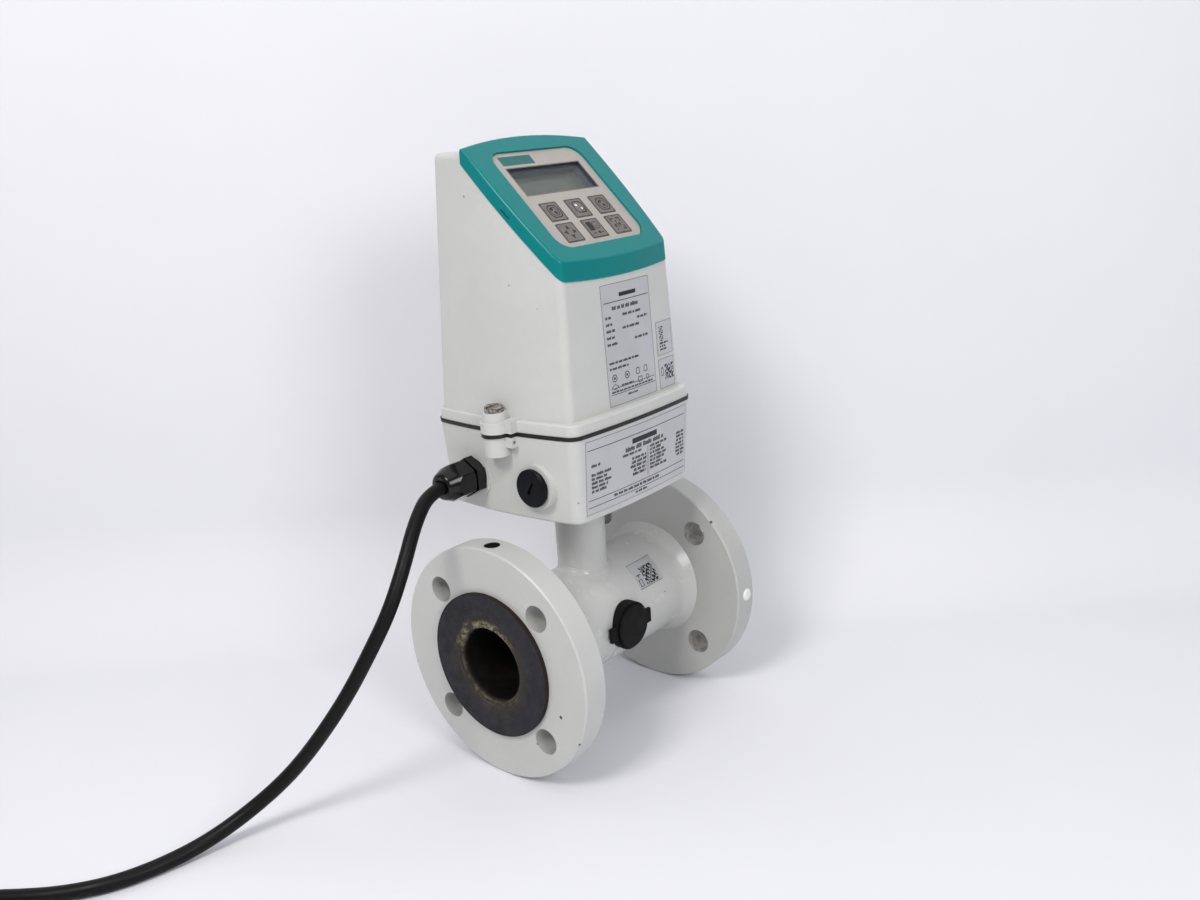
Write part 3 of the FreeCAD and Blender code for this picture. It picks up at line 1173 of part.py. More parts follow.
def make_display():
    """Display board behind the panel, and the display module seen through its cut-out."""
    half = "(panel_half_width - panel_ledge - 2 * panel_gap)"
    low = "panel_low + panel_ledge + 2 * panel_gap"
    high = "panel_high - panel_ledge - 2 * panel_gap"
    board = plate("display_sheet", rectangle(half, low, high), "circuit_thickness",
                  corner="panel_corner - panel_ledge")
    put_on_face(board, "0", "0", CIRCUIT_BACK)
    opening = block("display_opening", ("2 * (window_half_width - window_lap)",
                                        "window_high - window_low - 2 * window_lap", "4 * circuit_thickness"))
    put_on_face(opening, "-(window_half_width - window_lap)", "window_low + window_lap",
                CIRCUIT_BACK + " - circuit_thickness")
    keep("display_board", cut("display_board", board, opening))
    module = block("display_module", ("2 * window_half_width", "window_high - window_low + 2 * window_lap",
                                      "display_depth"))
    keep("display_module", put_on_face(module, "-window_half_width", "window_low - window_lap",
                                       CIRCUIT_BACK + " - display_depth"))


def make_electronics():
    """Base plate, main board and what stands on it, the ribbon and the plug down to the box."""
    sheet_body = drafted("base_sheet", SHELL_PLAN, BASE_BOTTOM, BASE_TOP, "-shell_wall - base_gap")
    posts = []
    for number, (x, y) in enumerate(main_posts()):
        posts.append(cylinder("base_post_%d" % number, "post_diameter / 2", "main_post_height + 1", x, y,
                              BASE_TOP + " - 1"))
    holes = [cylinder("base_hole_%d" % number, "base_screw / 2", "4 * base_thickness", x, y,
                      BASE_BOTTOM + " - base_thickness") for number, (x, y) in enumerate(base_posts())]
    holes.append(block("base_plug_hole", ("plug_length + 2 * base_gap", "plug_width + 2 * base_gap",
                                          "4 * base_thickness"),
                       "neck_x - plug_length / 2 - base_gap", "plug_y - plug_width / 2 - base_gap",
                       BASE_BOTTOM + " - base_thickness"))
    joined = fuse("base_joined", sheet_body, *posts)
    keep("base_plate", cut("base_plate", joined, fuse("base_holes", *holes)))

    screws = []
    for number, (x, y) in enumerate(base_posts()):
        shank = cylinder("base_shank_%d" % number, "base_screw / 2", "base_thickness + base_post / 2",
                         x, y, BASE_BOTTOM)
        head = cylinder("base_head_%d" % number, "base_screw_head / 2", "base_screw / 2", x, y,
                        BASE_BOTTOM + " - base_screw / 2")
        screws.append(fuse("base_screw_%d" % number, shank, head))
    keep("base_screws", group("base_screws", *screws))

    level = "(%s + main_post_height)" % BASE_TOP
    board = plate("main_sheet", rectangle("main_circuit_length / 2", "-main_circuit_width / 2",
                                          "main_circuit_width / 2"), "circuit_thickness", corner="2")
    keep("main_board", put(board, "neck_x", "entry_centre", level))
    top = "(%s + circuit_thickness)" % level
    keep("power_transformer", block("power_transformer", ("power_block_length", "power_block_width",
                                                          "power_block_height"),
                                    "neck_x - power_block_length / 2", "entry_centre", top))
    keep("board_plug", block("board_plug", ("plug_length", "plug_width", "%s - plug_join" % level),
                             "neck_x - plug_length / 2", "plug_y - plug_width / 2", "plug_join"))
    slope = "face_angle * 1 deg"
    y = "(face_y + ribbon_up * cos(%s) - %s * sin(%s))" % (slope, CIRCUIT_BACK, slope)
    z = "(face_z + ribbon_up * sin(%s) + %s * cos(%s))" % (slope, CIRCUIT_BACK, slope)
    keep("display_ribbon", block("display_ribbon", ("ribbon_width", "ribbon_thickness", "%s - %s" % (z, top)),
                                 "neck_x - ribbon_width / 2", y, top))


def main_posts():
    """Places of the posts under the main board."""
    along = "(main_circuit_length / 2 - post_diameter)"
    across = "(main_circuit_width / 2 - post_diameter)"
    return [("neck_x %s %s" % (right, along), "entry_centre %s %s" % (back, across))
            for right in "+-" for back in "+-"]


def make_cover_screws():
    """Slotted screws that clamp the transmitter to the box."""
    screws = []
    top = "(tower_top + screw_head_height)"
    for name, side in (("left", -1), ("right", 1)):
        blank = turned("cover_screw_blank_" + name, [
            ("screw_end", "0"), (top, "0"), (top, "screw_head / 2 - edge_bevel"),
            (top + " - edge_bevel", "screw_head / 2"), ("tower_top", "screw_head / 2"),
            ("tower_top", "screw_shank / 2"), ("screw_end", "screw_shank / 2")])
        slot = block("cover_slot_" + name, ("screw_slot", "screw_slot", "2 * screw_head"),
                     top + " - screw_slot_depth", "-screw_slot / 2", "-screw_head")
        screws.append(put(cut("cover_screw_" + name, blank, slot), "neck_x + %d * screw_reach" % side,
                          "screw_offset", "0", *UP_FROM_X))
    keep("cover_screws", group("cover_screws", *screws))


# ---- labels and rim plug ---------------------------------------------------------------------

def make_labels():
    """Thin labels that lie on the drafted walls and on the coil housing."""
    skins = {}
    for name, plan, low, high in (("shell", SHELL_PLAN, "lip_top", "face_z"),
                                  ("box", BOX_PLAN, "box_bottom", "gasket_level")):
        skins[name] = cut(name + "_skin", drafted(name + "_skin_out", plan, low, high, "label_thickness"),
                          drafted(name + "_skin_in", plan, low, high))
    labels = (("rating_label", "shell", "rating", "rating_low", "rating_high"),
              ("side_labels", "shell", "side_label", "function_low", "function_high"),
              ("side_labels", "shell", "side_label", "code_low", "code_high"),
              ("box_label", "box", "box_label", "box_label_low", "box_label_high"))
    kept = {}
    for node, skin, label, low, high in labels:
        size = (label + "_width", "box_front", "%s - %s" % (high, low))
        region = block(node + "_region", size, "neck_x + %s_left" % label,
                       "-box_front - shell_front / 2", low)
        kept.setdefault(node, []).append(common(node, skins[skin], region))
    for node, pieces in kept.items():
        keep(node, group(node, *pieces) if len(pieces) > 1 else pieces[0])
    start = value("body_label_angle - body_label_spread / 2")
    radial = V(0, -math.sin(math.radians(start)), math.cos(math.radians(start)))
    along = V(1, 0, 0)
    sectors = []
    for name, thickness in (("body_label_out", "label_thickness"), ("body_label_in", "0")):
        sector = doc.addObject("Part::Cylinder", name)
        sector.setExpression("Radius", bind("%s + %s" % (JACKET_RADIUS, thickness)))
        sector.setExpression("Height", bind("body_label_width"))
        sector.setExpression("Angle", bind("body_label_spread"))
        sector.Placement = FreeCAD.Placement(V(), TURN(radial, along.cross(radial), along, "ZXY"))
        sectors.append(put(sector, "body_length - flange_thickness - jacket_flare_length - body_label_gap"
                                   " - body_label_width"))
    keep("body_label", cut("body_label", *sectors))


def make_rim_plug():
    """Round plastic plug in the rim of the outlet flange."""
    rim = "(flange_diameter / 2)"
    plug = turned("rim_plug", [
        (rim + " - rim_hole_depth / 2", "0"), (rim + " + rim_plug_head", "0"),
        (rim + " + rim_plug_head", "rim_plug / 2 - 1"), (rim + " + rim_plug_head / 3", "rim_plug / 2"),
        (rim + " - rim_hole_depth / 2", "rim_plug / 2")])
    keep("rim_plug", put(plug, "body_length - rim_hole_inset", "0", "0", *FRONT_FROM_X))


# ---- cable -----------------------------------------------------------------------------------

def cord_path(points):
    """Straight runs joined by tangent arcs, each as large as its two runs allow, and the arcs' radii."""
    edges = []
    radii = []
    start = points[0]
    for before, corner, after in zip(points, points[1:], points[2:]):
        into = (corner - before).normalize()
        out = (after - corner).normalize()
        turn = into.getAngle(out)
        reach = 0.45 * min((corner - before).Length, (after - corner).Length)
        radii.append(reach / math.tan(turn / 2))
        first = corner - into * reach
        last = corner + out * reach
        middle = corner + (out - into).normalize() * (radii[-1] * (1 / math.cos(turn / 2) - 1))
        edges.append(Part.LineSegment(start, first).toShape())
        edges.append(Part.Arc(first, middle, last).toShape())
        start = last
    edges.append(Part.LineSegment(start, points[-1]).toShape())
    return Part.Wire(edges), radii


def make_tube(name, points, diameter):
    """A round solid along a cord path."""
    path, radii = cord_path(points)
    direction = (points[1] - points[0]).normalize()
    section = Part.Wire([Part.Circle(points[0], direction, diameter / 2).toShape()])
    solid = path.makePipeShell([section], True, False)
    expected = math.pi * diameter ** 2 / 4 * path.Length
    print("%s: length %.0f, volume %.4f of section times length, radii %s"
          % (name, path.Length, solid.Volume / expected, " ".join("%.0f" % radius for radius in radii)))
    thing = doc.addObject("Part::Feature", name)
    thing.Shape = solid
    return keep(name, thing)


def make_cable():
    """The cable from the gland down to the floor, its coil, its tail and the stripped end."""
    diameter = value("cable_diameter")
    floor = value(FLOOR) + diameter / 2
    entry = V(0, value(REAR_ENTRY), value("entry_level"))
    start = entry + V(value(CABLE_START), 0, 0)
    route = [start, start + V(-20, 0, 0), V(-33, 23, 108.5), V(-53, 15, 86), V(-69, 14, 62), V(-82.5, 20, 39),
             V(-95, 31, 12), V(-108.5, 47.5, -17), V(-122.5, 64, -42), V(-143, 80, -62), V(-172, 92, -75.5),
             V(-202, 98, floor), V(-229, 107, floor), V(-252, 124, floor), V(-271, 146, floor),
             V(-288, 169, floor), V(-305, 191, floor)]
    make_tube("cable", route, diameter)

    outer_turn = value("coil_turn_diameter") / 2 + diameter * (value("coil_layers") - 1) / 2
    half = diameter * value("coil_layers") / 2
    middle = value("coil_turn_diameter") / 2
    heading = (route[-1] - route[-2]).normalize()
    lead = 1.15 * math.sqrt((middle + half) ** 2 - (middle - half) ** 2)
    touch = route[-1] + heading * lead
    centre = touch + V(-heading.y, heading.x, 0) * outer_turn
    low = centre + V(0, 0, -diameter / 2)
    outline = Part.Face(Part.Wire(Part.makePolygon([
        low + V(middle - half, 0, 0), low + V(middle + half, 0, 0), low + V(middle + half, 0, 2 * half),
        low + V(middle - half, 0, 2 * half), low + V(middle - half, 0, 0)])))
    body = outline.revolve(centre, V(0, 0, 1), 360)
    rims = [edge for edge in body.Edges if edge.Length > 4 * middle]
    body = body.makeFillet(0.4 * diameter, rims)
    leaving = centre + V(-outer_turn, 0, 0)
    lead_in = Part.makeCylinder(diameter / 2, lead, route[-1], heading)
    lead_out = Part.makeCylinder(diameter / 2, lead, leaving, V(0, -1, 0))
    coil = doc.addObject("Part::Feature", "cable_coil")
    coil.Shape = body.fuse([lead_in, lead_out]).removeSplitter().Solids[0]
    keep("cable_coil", coil)
    print("coil centre %s, lead %.1f" % (centre, lead))

    loose = leaving + V(0, -lead, 0)
    tail = [loose, loose + V(0, -26, 0), loose + V(7, -51, 0), loose + V(19, -74, 0)]
    make_tube("cable_tail", tail, diameter)
    end = tail[-1]
    away = (tail[-1] - tail[-2]).normalize()
    aside = V(0, 0, 1).cross(away)
    wires = []
    ferrules = []
    length = value("stripped_length")
    for across, up in core_places():
        place = end + aside * value(across) + V(0, 0, value(up))
        wires.append(Part.makeCylinder(value("core_diameter") / 2, length, place, away))
        ferrules.append(Part.makeCylinder(value("ferrule_diameter") / 2, value("ferrule_length"),
                                          place + away * length, away))
    for node, solids in (("cable_cores", wires), ("ferrules", ferrules)):
        thing = doc.addObject("Part::Feature", node)
        thing.Shape = Part.makeCompound(solids)
        keep(node, thing)


def write_parts():
    """Check every object and write each piece."""
    doc.recompute()
    for thing in doc.Objects:
        wrong = {"Invalid", "Error"} & set(thing.State)
        if wrong:
            raise RuntimeError("%s (%s) is %s" % (thing.Name, thing.Label, wrong))
    os.makedirs("parts", exist_ok=True)
    for node, thing in PARTS:
        shape = thing.Shape
        if shape.isNull() or not shape.isValid() or not shape.Solids:
            raise RuntimeError("%s has no valid solid" % node)
        shape.exportStep(os.path.join("parts", node + ".step"))
    print("%d pieces written" % len(PARTS))


make_flange("inlet_flange", "0", "rim_hole_inset", "rim_hole / 2", "XY_Plane")
make_flange("outlet_flange", "body_length - flange_thickness", "flange_thickness - rim_hole_inset",
            "rim_plug / 2", "XZ_Plane")
make_sensor_tube()
make_electrodes()
make_coils()
make_jacket()
make_caps()
make_neck()
make_neck_screws()
make_terminal_box()
make_gasket()
make_link_board()
make_wires()
make_gland()
make_entry_plugs()
make_housing()
make_bezel()
make_panel()
make_keys()
make_display()
make_electronics()
make_cover_screws()
make_labels()
make_rim_plug()
make_cable()
write_parts()
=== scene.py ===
import math
import random

import bmesh
import bpy
from mathutils import Matrix, Vector
from mathutils.bvhtree import BVHTree


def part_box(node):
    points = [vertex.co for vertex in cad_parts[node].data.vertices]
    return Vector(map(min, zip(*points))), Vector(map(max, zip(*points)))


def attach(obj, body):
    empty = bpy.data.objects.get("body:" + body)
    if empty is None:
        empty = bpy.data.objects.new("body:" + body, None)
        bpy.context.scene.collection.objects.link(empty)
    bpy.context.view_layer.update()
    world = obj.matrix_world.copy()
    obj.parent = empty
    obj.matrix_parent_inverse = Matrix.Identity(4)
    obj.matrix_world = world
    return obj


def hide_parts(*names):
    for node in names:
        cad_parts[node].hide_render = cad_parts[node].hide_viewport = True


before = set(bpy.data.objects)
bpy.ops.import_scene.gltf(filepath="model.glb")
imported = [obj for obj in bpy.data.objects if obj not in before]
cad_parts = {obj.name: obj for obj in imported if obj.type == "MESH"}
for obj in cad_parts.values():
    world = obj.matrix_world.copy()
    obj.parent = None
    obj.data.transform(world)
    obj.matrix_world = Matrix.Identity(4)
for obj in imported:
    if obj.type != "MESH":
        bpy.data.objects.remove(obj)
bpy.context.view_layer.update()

bl_info = {
    "name": "Electromagnetic flow meter",
    "version": (1, 0, 0),
    "blender": (4, 5, 0),
    "location": "View3D > Sidebar > Flow meter",
    "description": "Finishes, printed plates, keypad, cable and stage of a flanged flow meter",
    "category": "Object",
}

MM = 0.001
METER = "meter"
PIPE_AXIS = Vector((1, 0, 0))
FLOOR_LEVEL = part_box("inlet_flange")[0].z
NECK_X = (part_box("neck")[0].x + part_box("neck")[1].x) / 2
FACE_TILT = math.radians(44.5)
FACE_FOOT = Vector((NECK_X, -0.045, 0.2665))
FACE_UP = Vector((0, math.cos(FACE_TILT), math.sin(FACE_TILT)))
FACE_OUT = Vector((0, -math.sin(FACE_TILT), math.cos(FACE_TILT)))
HOUSING_RADIUS = 0.0388
NECK_RADIUS = 0.0179
BOLT_PLACE = 0.0442          # of a flange hole, across and up from the pipe axis
BOLT_HOLE_RADIUS = 0.0091
RIM_HOLE_X = 0.0095
RIM_HOLE_RADIUS = 0.0056
FLANGE_RADIUS = 0.0825
BORE_EDGE = 0.023            # radius where the rounding of the bore's mouth begins
LINER_RADIUS = 0.0507
LINER_ENDS = (-0.003, 0.197)
WINDOW = (35.0, 52.4, 76.0)  # half width, lower and upper edge on the slanted face, millimetres


def tint(red, green, blue):
    """Linear colour of an ordinary screen colour given from 0 to 255."""
    def linear(part):
        part /= 255
        return part / 12.92 if part <= 0.04045 else ((part + 0.055) / 1.055) ** 2.4
    return linear(red), linear(green), linear(blue)


def colour_setting(name, description, red, green, blue):
    """Colour picker with a default given as a screen colour."""
    return bpy.props.FloatVectorProperty(name=name, description=description, subtype="COLOR", size=3,
                                         min=0, max=1, default=tint(red, green, blue))


def number_setting(name, description, default, **kind):
    """Number from 0 up; its kind may give a subtype, a unit or an upper limit."""
    return bpy.props.FloatProperty(name=name, description=description, min=0, default=default, **kind)


def length_setting(name, description, millimetres):
    """Length in metres with a default given in millimetres."""
    return number_setting(name, description, millimetres * MM, subtype="DISTANCE", unit="LENGTH", precision=5)


# ---- settings ----

class PaintSettings(bpy.types.PropertyGroup):
    """White paint of the tube, the box and the housing."""
    pipe: colour_setting("Tube paint", "Paint of the flanges and the coil housing", 194, 194, 191)
    # painted shade: the tube paint darkened for the outlet flange, which stands in the shade of the terminal
    # box; the real paint is the same
    outlet_painted_shade: colour_setting("Shaded outlet paint", "Tube paint darkened as painted shade for the outlet flange", 180, 180, 177)
    casting: colour_setting("Casting paint", "Paint of the terminal box and the housing", 196, 196, 193)
    primer: colour_setting("Chip colour", "Dark metal that shows where the paint has chipped", 58, 54, 50)
    dirt: colour_setting("Dirt", "Brown dirt in the bolt holes", 118, 104, 82)
    roughness: number_setting("Roughness", "Roughness of the paint", 0.4, subtype="FACTOR", max=1)


class TrimSettings(bpy.types.PropertyGroup):
    """Plastic trim and rubber."""
    bezel: colour_setting("Bezel", "Frame round the keypad", 4, 120, 120)
    strip: colour_setting("Strip", "Film strip above the display", 14, 98, 97)
    panel: colour_setting("Panel", "Sheet behind the keys", 168, 162, 155)
    key: colour_setting("Keys", "Rubber of the keys", 112, 106, 101)
    key_ink: colour_setting("Key print", "Dark print on the keys", 20, 18, 18)
    cap: colour_setting("Port caps", "Caps on the service ports", 17, 16, 17)
    gland: colour_setting("Gland", "Cable gland", 4, 4, 4)
    plug: colour_setting("Entry plugs", "Blanking plugs of the box", 10, 11, 16)
    gasket: colour_setting("Gasket", "Cord seal of the box", 20, 14, 13)
    liner: colour_setting("Liner", "Rubber lining of the tube", 38, 38, 42)


class LabelSettings(bpy.types.PropertyGroup):
    """Silver plates and what is printed on them."""
    silver: colour_setting("Plate", "Silver film of the labels", 190, 190, 192)
    ink: colour_setting("Print", "Print on the labels", 22, 22, 25)
    lift: length_setting("Print height", "Height of the print above its plate", 0.04)
    seed: bpy.props.IntProperty(name="Row pattern", description="Changes the lengths of the printed bars",
                                default=4, min=0)


class CableSettings(bpy.types.PropertyGroup):
    """Supply cable."""
    diameter: length_setting("Diameter", "Diameter of the cable", 9.5)
    turn: length_setting("Coil", "Diameter at the middle of a turn", 106)
    layers: bpy.props.IntProperty(name="Layers", description="Layers of turns in the coil", default=2, min=1)
    jacket: colour_setting("Jacket", "Colour of the cable", 14, 13, 13)


class StageSettings(bpy.types.PropertyGroup):
    """Floor, backdrop, lamps and camera."""
    floor: colour_setting("Floor", "Colour of the floor and the backdrop", 231, 231, 235)
    key_power: number_setting("Key lamp", "Power of the side lamp", 10.4)
    fill_power: number_setting("Front lamp", "Power of the front lamp", 6.6)
    top_power: number_setting("Top lamp", "Power of the wide lamp overhead", 4.5)
    sky: number_setting("Sky", "Strength of the light from all round", 0.36)


# ---- materials ----

class Finish:
    """A material being built: its nodes, and short names for the ones used most."""

    def __init__(self, name, colour, roughness, metallic=0.0, specular=0.5):
        self.material = bpy.data.materials.new(name)
        self.material.use_nodes = True
        self.tree = self.material.node_tree
        self.shader = self.tree.nodes["Principled BSDF"]
        self.colour = (*colour, 1.0)
        self.tone = self.colour
        self.shader.inputs["Base Color"].default_value = self.colour
        self.shader.inputs["Roughness"].default_value = roughness
        self.shader.inputs["Metallic"].default_value = metallic
        self.shader.inputs["Specular IOR Level"].default_value = specular
        self.place = self.tree.nodes.new("ShaderNodeTexCoord").outputs["Object"]
        self.material.diffuse_color = self.colour

    def node(self, kind, values=None, **settings):
        """New node; a value is a number or another node's output."""
        made = self.tree.nodes.new(kind)
        for key, value in settings.items():
            setattr(made, key, value)
        for socket, value in (values or {}).items():
            if isinstance(value, bpy.types.NodeSocket):
                self.tree.links.new(value, made.inputs[socket])
            else:
                made.inputs[socket].default_value = value
        return made

    def noise(self, size, detail=3.0, roughness=0.55, stretch=None):
        """Cloudy pattern from 0 to 1, whose blots are about that many metres across."""
        at = self.place
        if stretch:
            at = self.node("ShaderNodeMapping", {"Vector": at, "Scale": stretch}).outputs["Vector"]
        made = self.node("ShaderNodeTexNoise", {"Vector": at, "Scale": 1 / size, "Detail": detail,
                                                "Roughness": roughness})
        return made.outputs["Fac"]

    def math(self, operation, first, second=0.0, third=0.0):
        return self.node("ShaderNodeMath", {0: first, 1: second, 2: third}, operation=operation).outputs[0]

    def times(self, first, second):
        return self.math("MULTIPLY", first, second)

    def reach(self, first, second):
        """Length of a line that goes that far one way and that far the other."""
        return self.math("SQRT", self.math("ADD", self.times(first, first), self.times(second, second)))

    def spread(self, value, low, high, to_low=0.0, to_high=1.0):
        """Value carried smoothly from one range to another."""
        made = self.node("ShaderNodeMapRange", {"Value": value, "From Min": low, "From Max": high,
                                                "To Min": to_low, "To Max": to_high},
                         interpolation_type="SMOOTHSTEP")
        return made.outputs["Result"]

    def mix(self, share, first, second):
        """Colour between the two."""
        made = self.node("ShaderNodeMix", data_type="RGBA")
        for socket, value in zip((made.inputs[0], made.inputs[6], made.inputs[7]), (share, first, second)):
            if isinstance(value, bpy.types.NodeSocket):
                self.tree.links.new(value, socket)
            elif isinstance(value, (int, float)):
                socket.default_value = value
            else:
                socket.default_value = (*value[:3], 1.0)
        return made.outputs[2]

    def shade(self, factor):
        """The finish's own colour, lighter or darker by that factor."""
        return tuple(min(1.0, part * factor) for part in self.colour[:3])

    def mottle(self, size, amount, detail=3.0):
        """Start from the own colour, a little lighter and darker in blots."""
        share = self.spread(self.noise(size, detail), 0.3, 0.7)
        self.tone = self.mix(share, self.shade(1 - amount), self.shade(1 + amount))
        self.paint(self.tone)

    def lay(self, mask, colour, share=1.0):
        """Another colour over what is there, as far as the mask and the share let it."""
        self.tone = self.mix(self.times(mask, share), self.tone, colour)
        self.paint(self.tone)

    def grain(self, size, height, strength=1.0):
        """Small relief all over the surface."""
        self.bump(self.noise(size, 2.0, 0.5), height, strength)

    def bump(self, pattern, height, strength=1.0):
        made = self.node("ShaderNodeBump", {"Strength": strength, "Distance": height, "Height": pattern})
        old = self.shader.inputs["Normal"]
        if old.is_linked:
            self.tree.links.new(old.links[0].from_socket, made.inputs["Normal"])
        self.tree.links.new(made.outputs["Normal"], old)

    def rub(self, size, low, high):
        """Roughness that changes in blots between low and high."""
        rubbed = self.spread(self.noise(size, 4.0), 0.3, 0.7, low, high)
        self.tree.links.new(rubbed, self.shader.inputs["Roughness"])

    def paint(self, colour):
        self.tree.links.new(colour, self.shader.inputs["Base Color"])

    def split(self):
        """Separate coordinates of a point, in metres."""
        return self.node("ShaderNodeSeparateXYZ", {"Vector": self.place}).outputs

    def edges(self, radius):
        """1 along sharp edges and 0 on flat places."""
        soft = self.node("ShaderNodeBevel", {"Radius": radius}, samples=4)
        true = self.node("ShaderNodeNewGeometry").outputs["True Normal"]
        dot = self.node("ShaderNodeVectorMath", {0: soft.outputs["Normal"], 1: true}, operation="DOT_PRODUCT")
        return self.spread(dot.outputs["Value"], 0.995, 0.9)

    def spots(self, places, ragged):
        """1 inside small ragged spots round the given points, each (x, y, z, radius) in millimetres."""
        wobble = self.noise(ragged, 3.0)
        total = None
        for x, y, z, radius in places:
            away = self.node("ShaderNodeVectorMath", {0: self.place, 1: (x * MM, y * MM, z * MM)},
                             operation="DISTANCE").outputs["Value"]
            bent = self.math("MULTIPLY_ADD", wobble, radius * MM * 1.4, away)
            spot = self.spread(bent, radius * MM * 1.9, radius * MM * 1.5)
            total = spot if total is None else self.math("MAXIMUM", total, spot)
        return total


def dress(material, *nodes):
    """Give every slot of those CAD nodes the material."""
    for node in nodes:
        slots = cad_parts[node].data.materials
        for number in range(len(slots)):
            slots[number] = material


def surface_of(node):
    """Search tree over the faces of a CAD node."""
    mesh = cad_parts[node].data
    return BVHTree.FromPolygons([vertex.co.copy() for vertex in mesh.vertices],
                                [tuple(face.vertices) for face in mesh.polygons])


def add_object(name, data):
    """Object in the scene that shows those data."""
    made = bpy.data.objects.new(name, data)
    bpy.context.scene.collection.objects.link(made)
    return made


def add_mesh(name, shape, *materials):
    """Object made of a finished shape, with its materials."""
    mesh = bpy.data.meshes.new(name)
    shape.to_mesh(mesh)
    shape.free()
    for material in materials:
        mesh.materials.append(material)
    return add_object(name, mesh)


def touch(node, start, radius):
    """Spot of that radius where a line along the pipe meets the node, all in millimetres."""
    place = surface_of(node).ray_cast(Vector(start) * MM, PIPE_AXIS)[0]
    return (*[part / MM for part in place], radius)


def finish_paint(name, colour, settings, chips=(), dirt=False, hole=False, gloss=0.0, chip_colour=None):
    """Satin paint with a faint orange peel, a painted highlight along its sharp edges, which are worn through
    to the primer in places, and a few chips.
    """
    roughness = settings.roughness - gloss
    skin = Finish(name, colour, roughness)
    skin.mottle(0.05, 0.025, 4.0)
    skin.lay(skin.spread(skin.noise(0.006, 5.0), 0.35, 0.75), skin.shade(0.86), 0.12)
    edge = skin.edges(0.0007)
    # painted highlight: the paint is made lighter along sharp edges, where the chamfers would catch the light
    skin.lay(edge, skin.shade(1.18), 0.35)
    skin.lay(skin.times(edge, skin.spread(skin.noise(0.004, 6.0, 0.7), 0.69, 0.74)), settings.primer)
    if chips:
        skin.lay(skin.spots(chips, 0.0012), chip_colour or settings.primer)
    # the bolt holes get painted shade on their walls, and dirt where its colour is given
    if dirt or hole:
        lay_bolt_holes(skin, settings.dirt if dirt else None)
    if hole:
        skin.lay(rim_hole(skin), tint(30, 28, 27))
    relief, rubbed = (0.00002, 0.02) if gloss else (0.00006, 0.06)
    skin.grain(0.0016, relief, 0.5)
    skin.rub(0.02, roughness - rubbed, roughness + rubbed)
    return skin.material


def lay_bolt_holes(skin, dirt=None):
    """Painted shade on the walls of the four bolt holes of a flange, with dirt where its colour is given."""
    _, y, z = skin.split()
    away = skin.reach(*[skin.math("SUBTRACT", skin.math("ABSOLUTE", part), BOLT_PLACE) for part in (y, z)])
    wall = skin.spread(away, BOLT_HOLE_RADIUS + 0.0005, BOLT_HOLE_RADIUS)
    # painted shade: the paint made darker on the hole walls, where shade falls inside the holes
    skin.lay(wall, skin.shade(0.68), 0.8)
    if dirt:
        skin.lay(skin.times(wall, skin.spread(skin.noise(0.005, 5.0, 0.65), 0.42, 0.66)), dirt, 0.75)


def finish_plastic(name, colour, roughness, mottle=0.05, grain=0.0008, relief=0.00004, specular=0.5):
    """Moulded plastic or rubber with a fine grain."""
    skin = Finish(name, colour, roughness, specular=specular)
    skin.mottle(0.012, mottle, 4.0)
    skin.grain(grain, relief, 0.6)
    skin.rub(0.01, max(0.02, roughness - 0.05), roughness + 0.06)
    return skin.material


def finish_metal(name, colour, roughness, stretch=(1, 1, 1)):
    """Bare metal with fine tool marks along one direction."""
    skin = Finish(name, colour, roughness, metallic=1.0)
    skin.mottle(0.004, 0.12, 5.0)
    skin.bump(skin.noise(0.0008, 3.0, stretch=stretch), 0.00003, 0.6)
    skin.rub(0.003, roughness - 0.08, roughness + 0.1)
    return skin.material


def finish_bezel(settings):
    """Teal moulded frame with a painted highlight along its edges, and one dark nick."""
    skin = Finish("teal_frame", settings.bezel, 0.36, specular=0.25)
    skin.mottle(0.04, 0.02, 1.0)
    # painted highlight: the teal is made much lighter along the edges, standing in for light along the crease
    skin.lay(skin.edges(0.0009), skin.shade(1.8), 0.5)
    nick = [touch("bezel", (-40, -7.0 - step, 295.9 - step), 0.62) for step in range(6)]
    skin.lay(skin.spots(nick, 0.001), skin.shade(0.2))
    skin.grain(0.0007, 0.00001, 0.3)
    skin.rub(0.03, 0.22, 0.26)
    return skin.material


def finish_panel(settings):
    """Light sheet whose opening for the display has dark walls."""
    skin = Finish("panel_sheet", settings.panel, 0.5)
    skin.mottle(0.012, 0.03, 4.0)
    half, low, high = WINDOW
    middle = face_point(0, (low + high) / 2)

    def along(way):
        """Distance from the middle of the opening along that direction."""
        away = skin.node("ShaderNodeVectorMath", {0: skin.place, 1: tuple(middle)}, operation="SUBTRACT")
        return skin.node("ShaderNodeVectorMath", {0: away.outputs["Vector"], 1: tuple(way)},
                         operation="DOT_PRODUCT").outputs["Value"]

    def within(way, reach):
        """1 up to that far from the middle along that direction."""
        return skin.spread(skin.math("ABSOLUTE", along(way)), (reach + 0.3) * MM, (reach + 0.1) * MM)

    opening = skin.times(within(PIPE_AXIS, half), within(FACE_UP, (high - low) / 2))
    skin.lay(skin.times(opening, skin.spread(along(FACE_OUT), -0.0015, -0.0018)), tint(58, 62, 68))
    skin.grain(0.0008, 0.00004, 0.6)
    skin.rub(0.01, 0.45, 0.56)
    return skin.material


def finish_seal(settings):
    """Black cord seal that looks round where it stands out of the joint."""
    skin = Finish("cord_seal", settings.gasket, 0.35, specular=0.4)
    skin.mottle(0.006, 0.2, 4.0)
    rounded = skin.node("ShaderNodeBevel", {"Radius": 0.0012}, samples=6)
    skin.tree.links.new(rounded.outputs["Normal"], skin.shader.inputs["Normal"])
    skin.rub(0.01, 0.3, 0.45)
    return skin.material


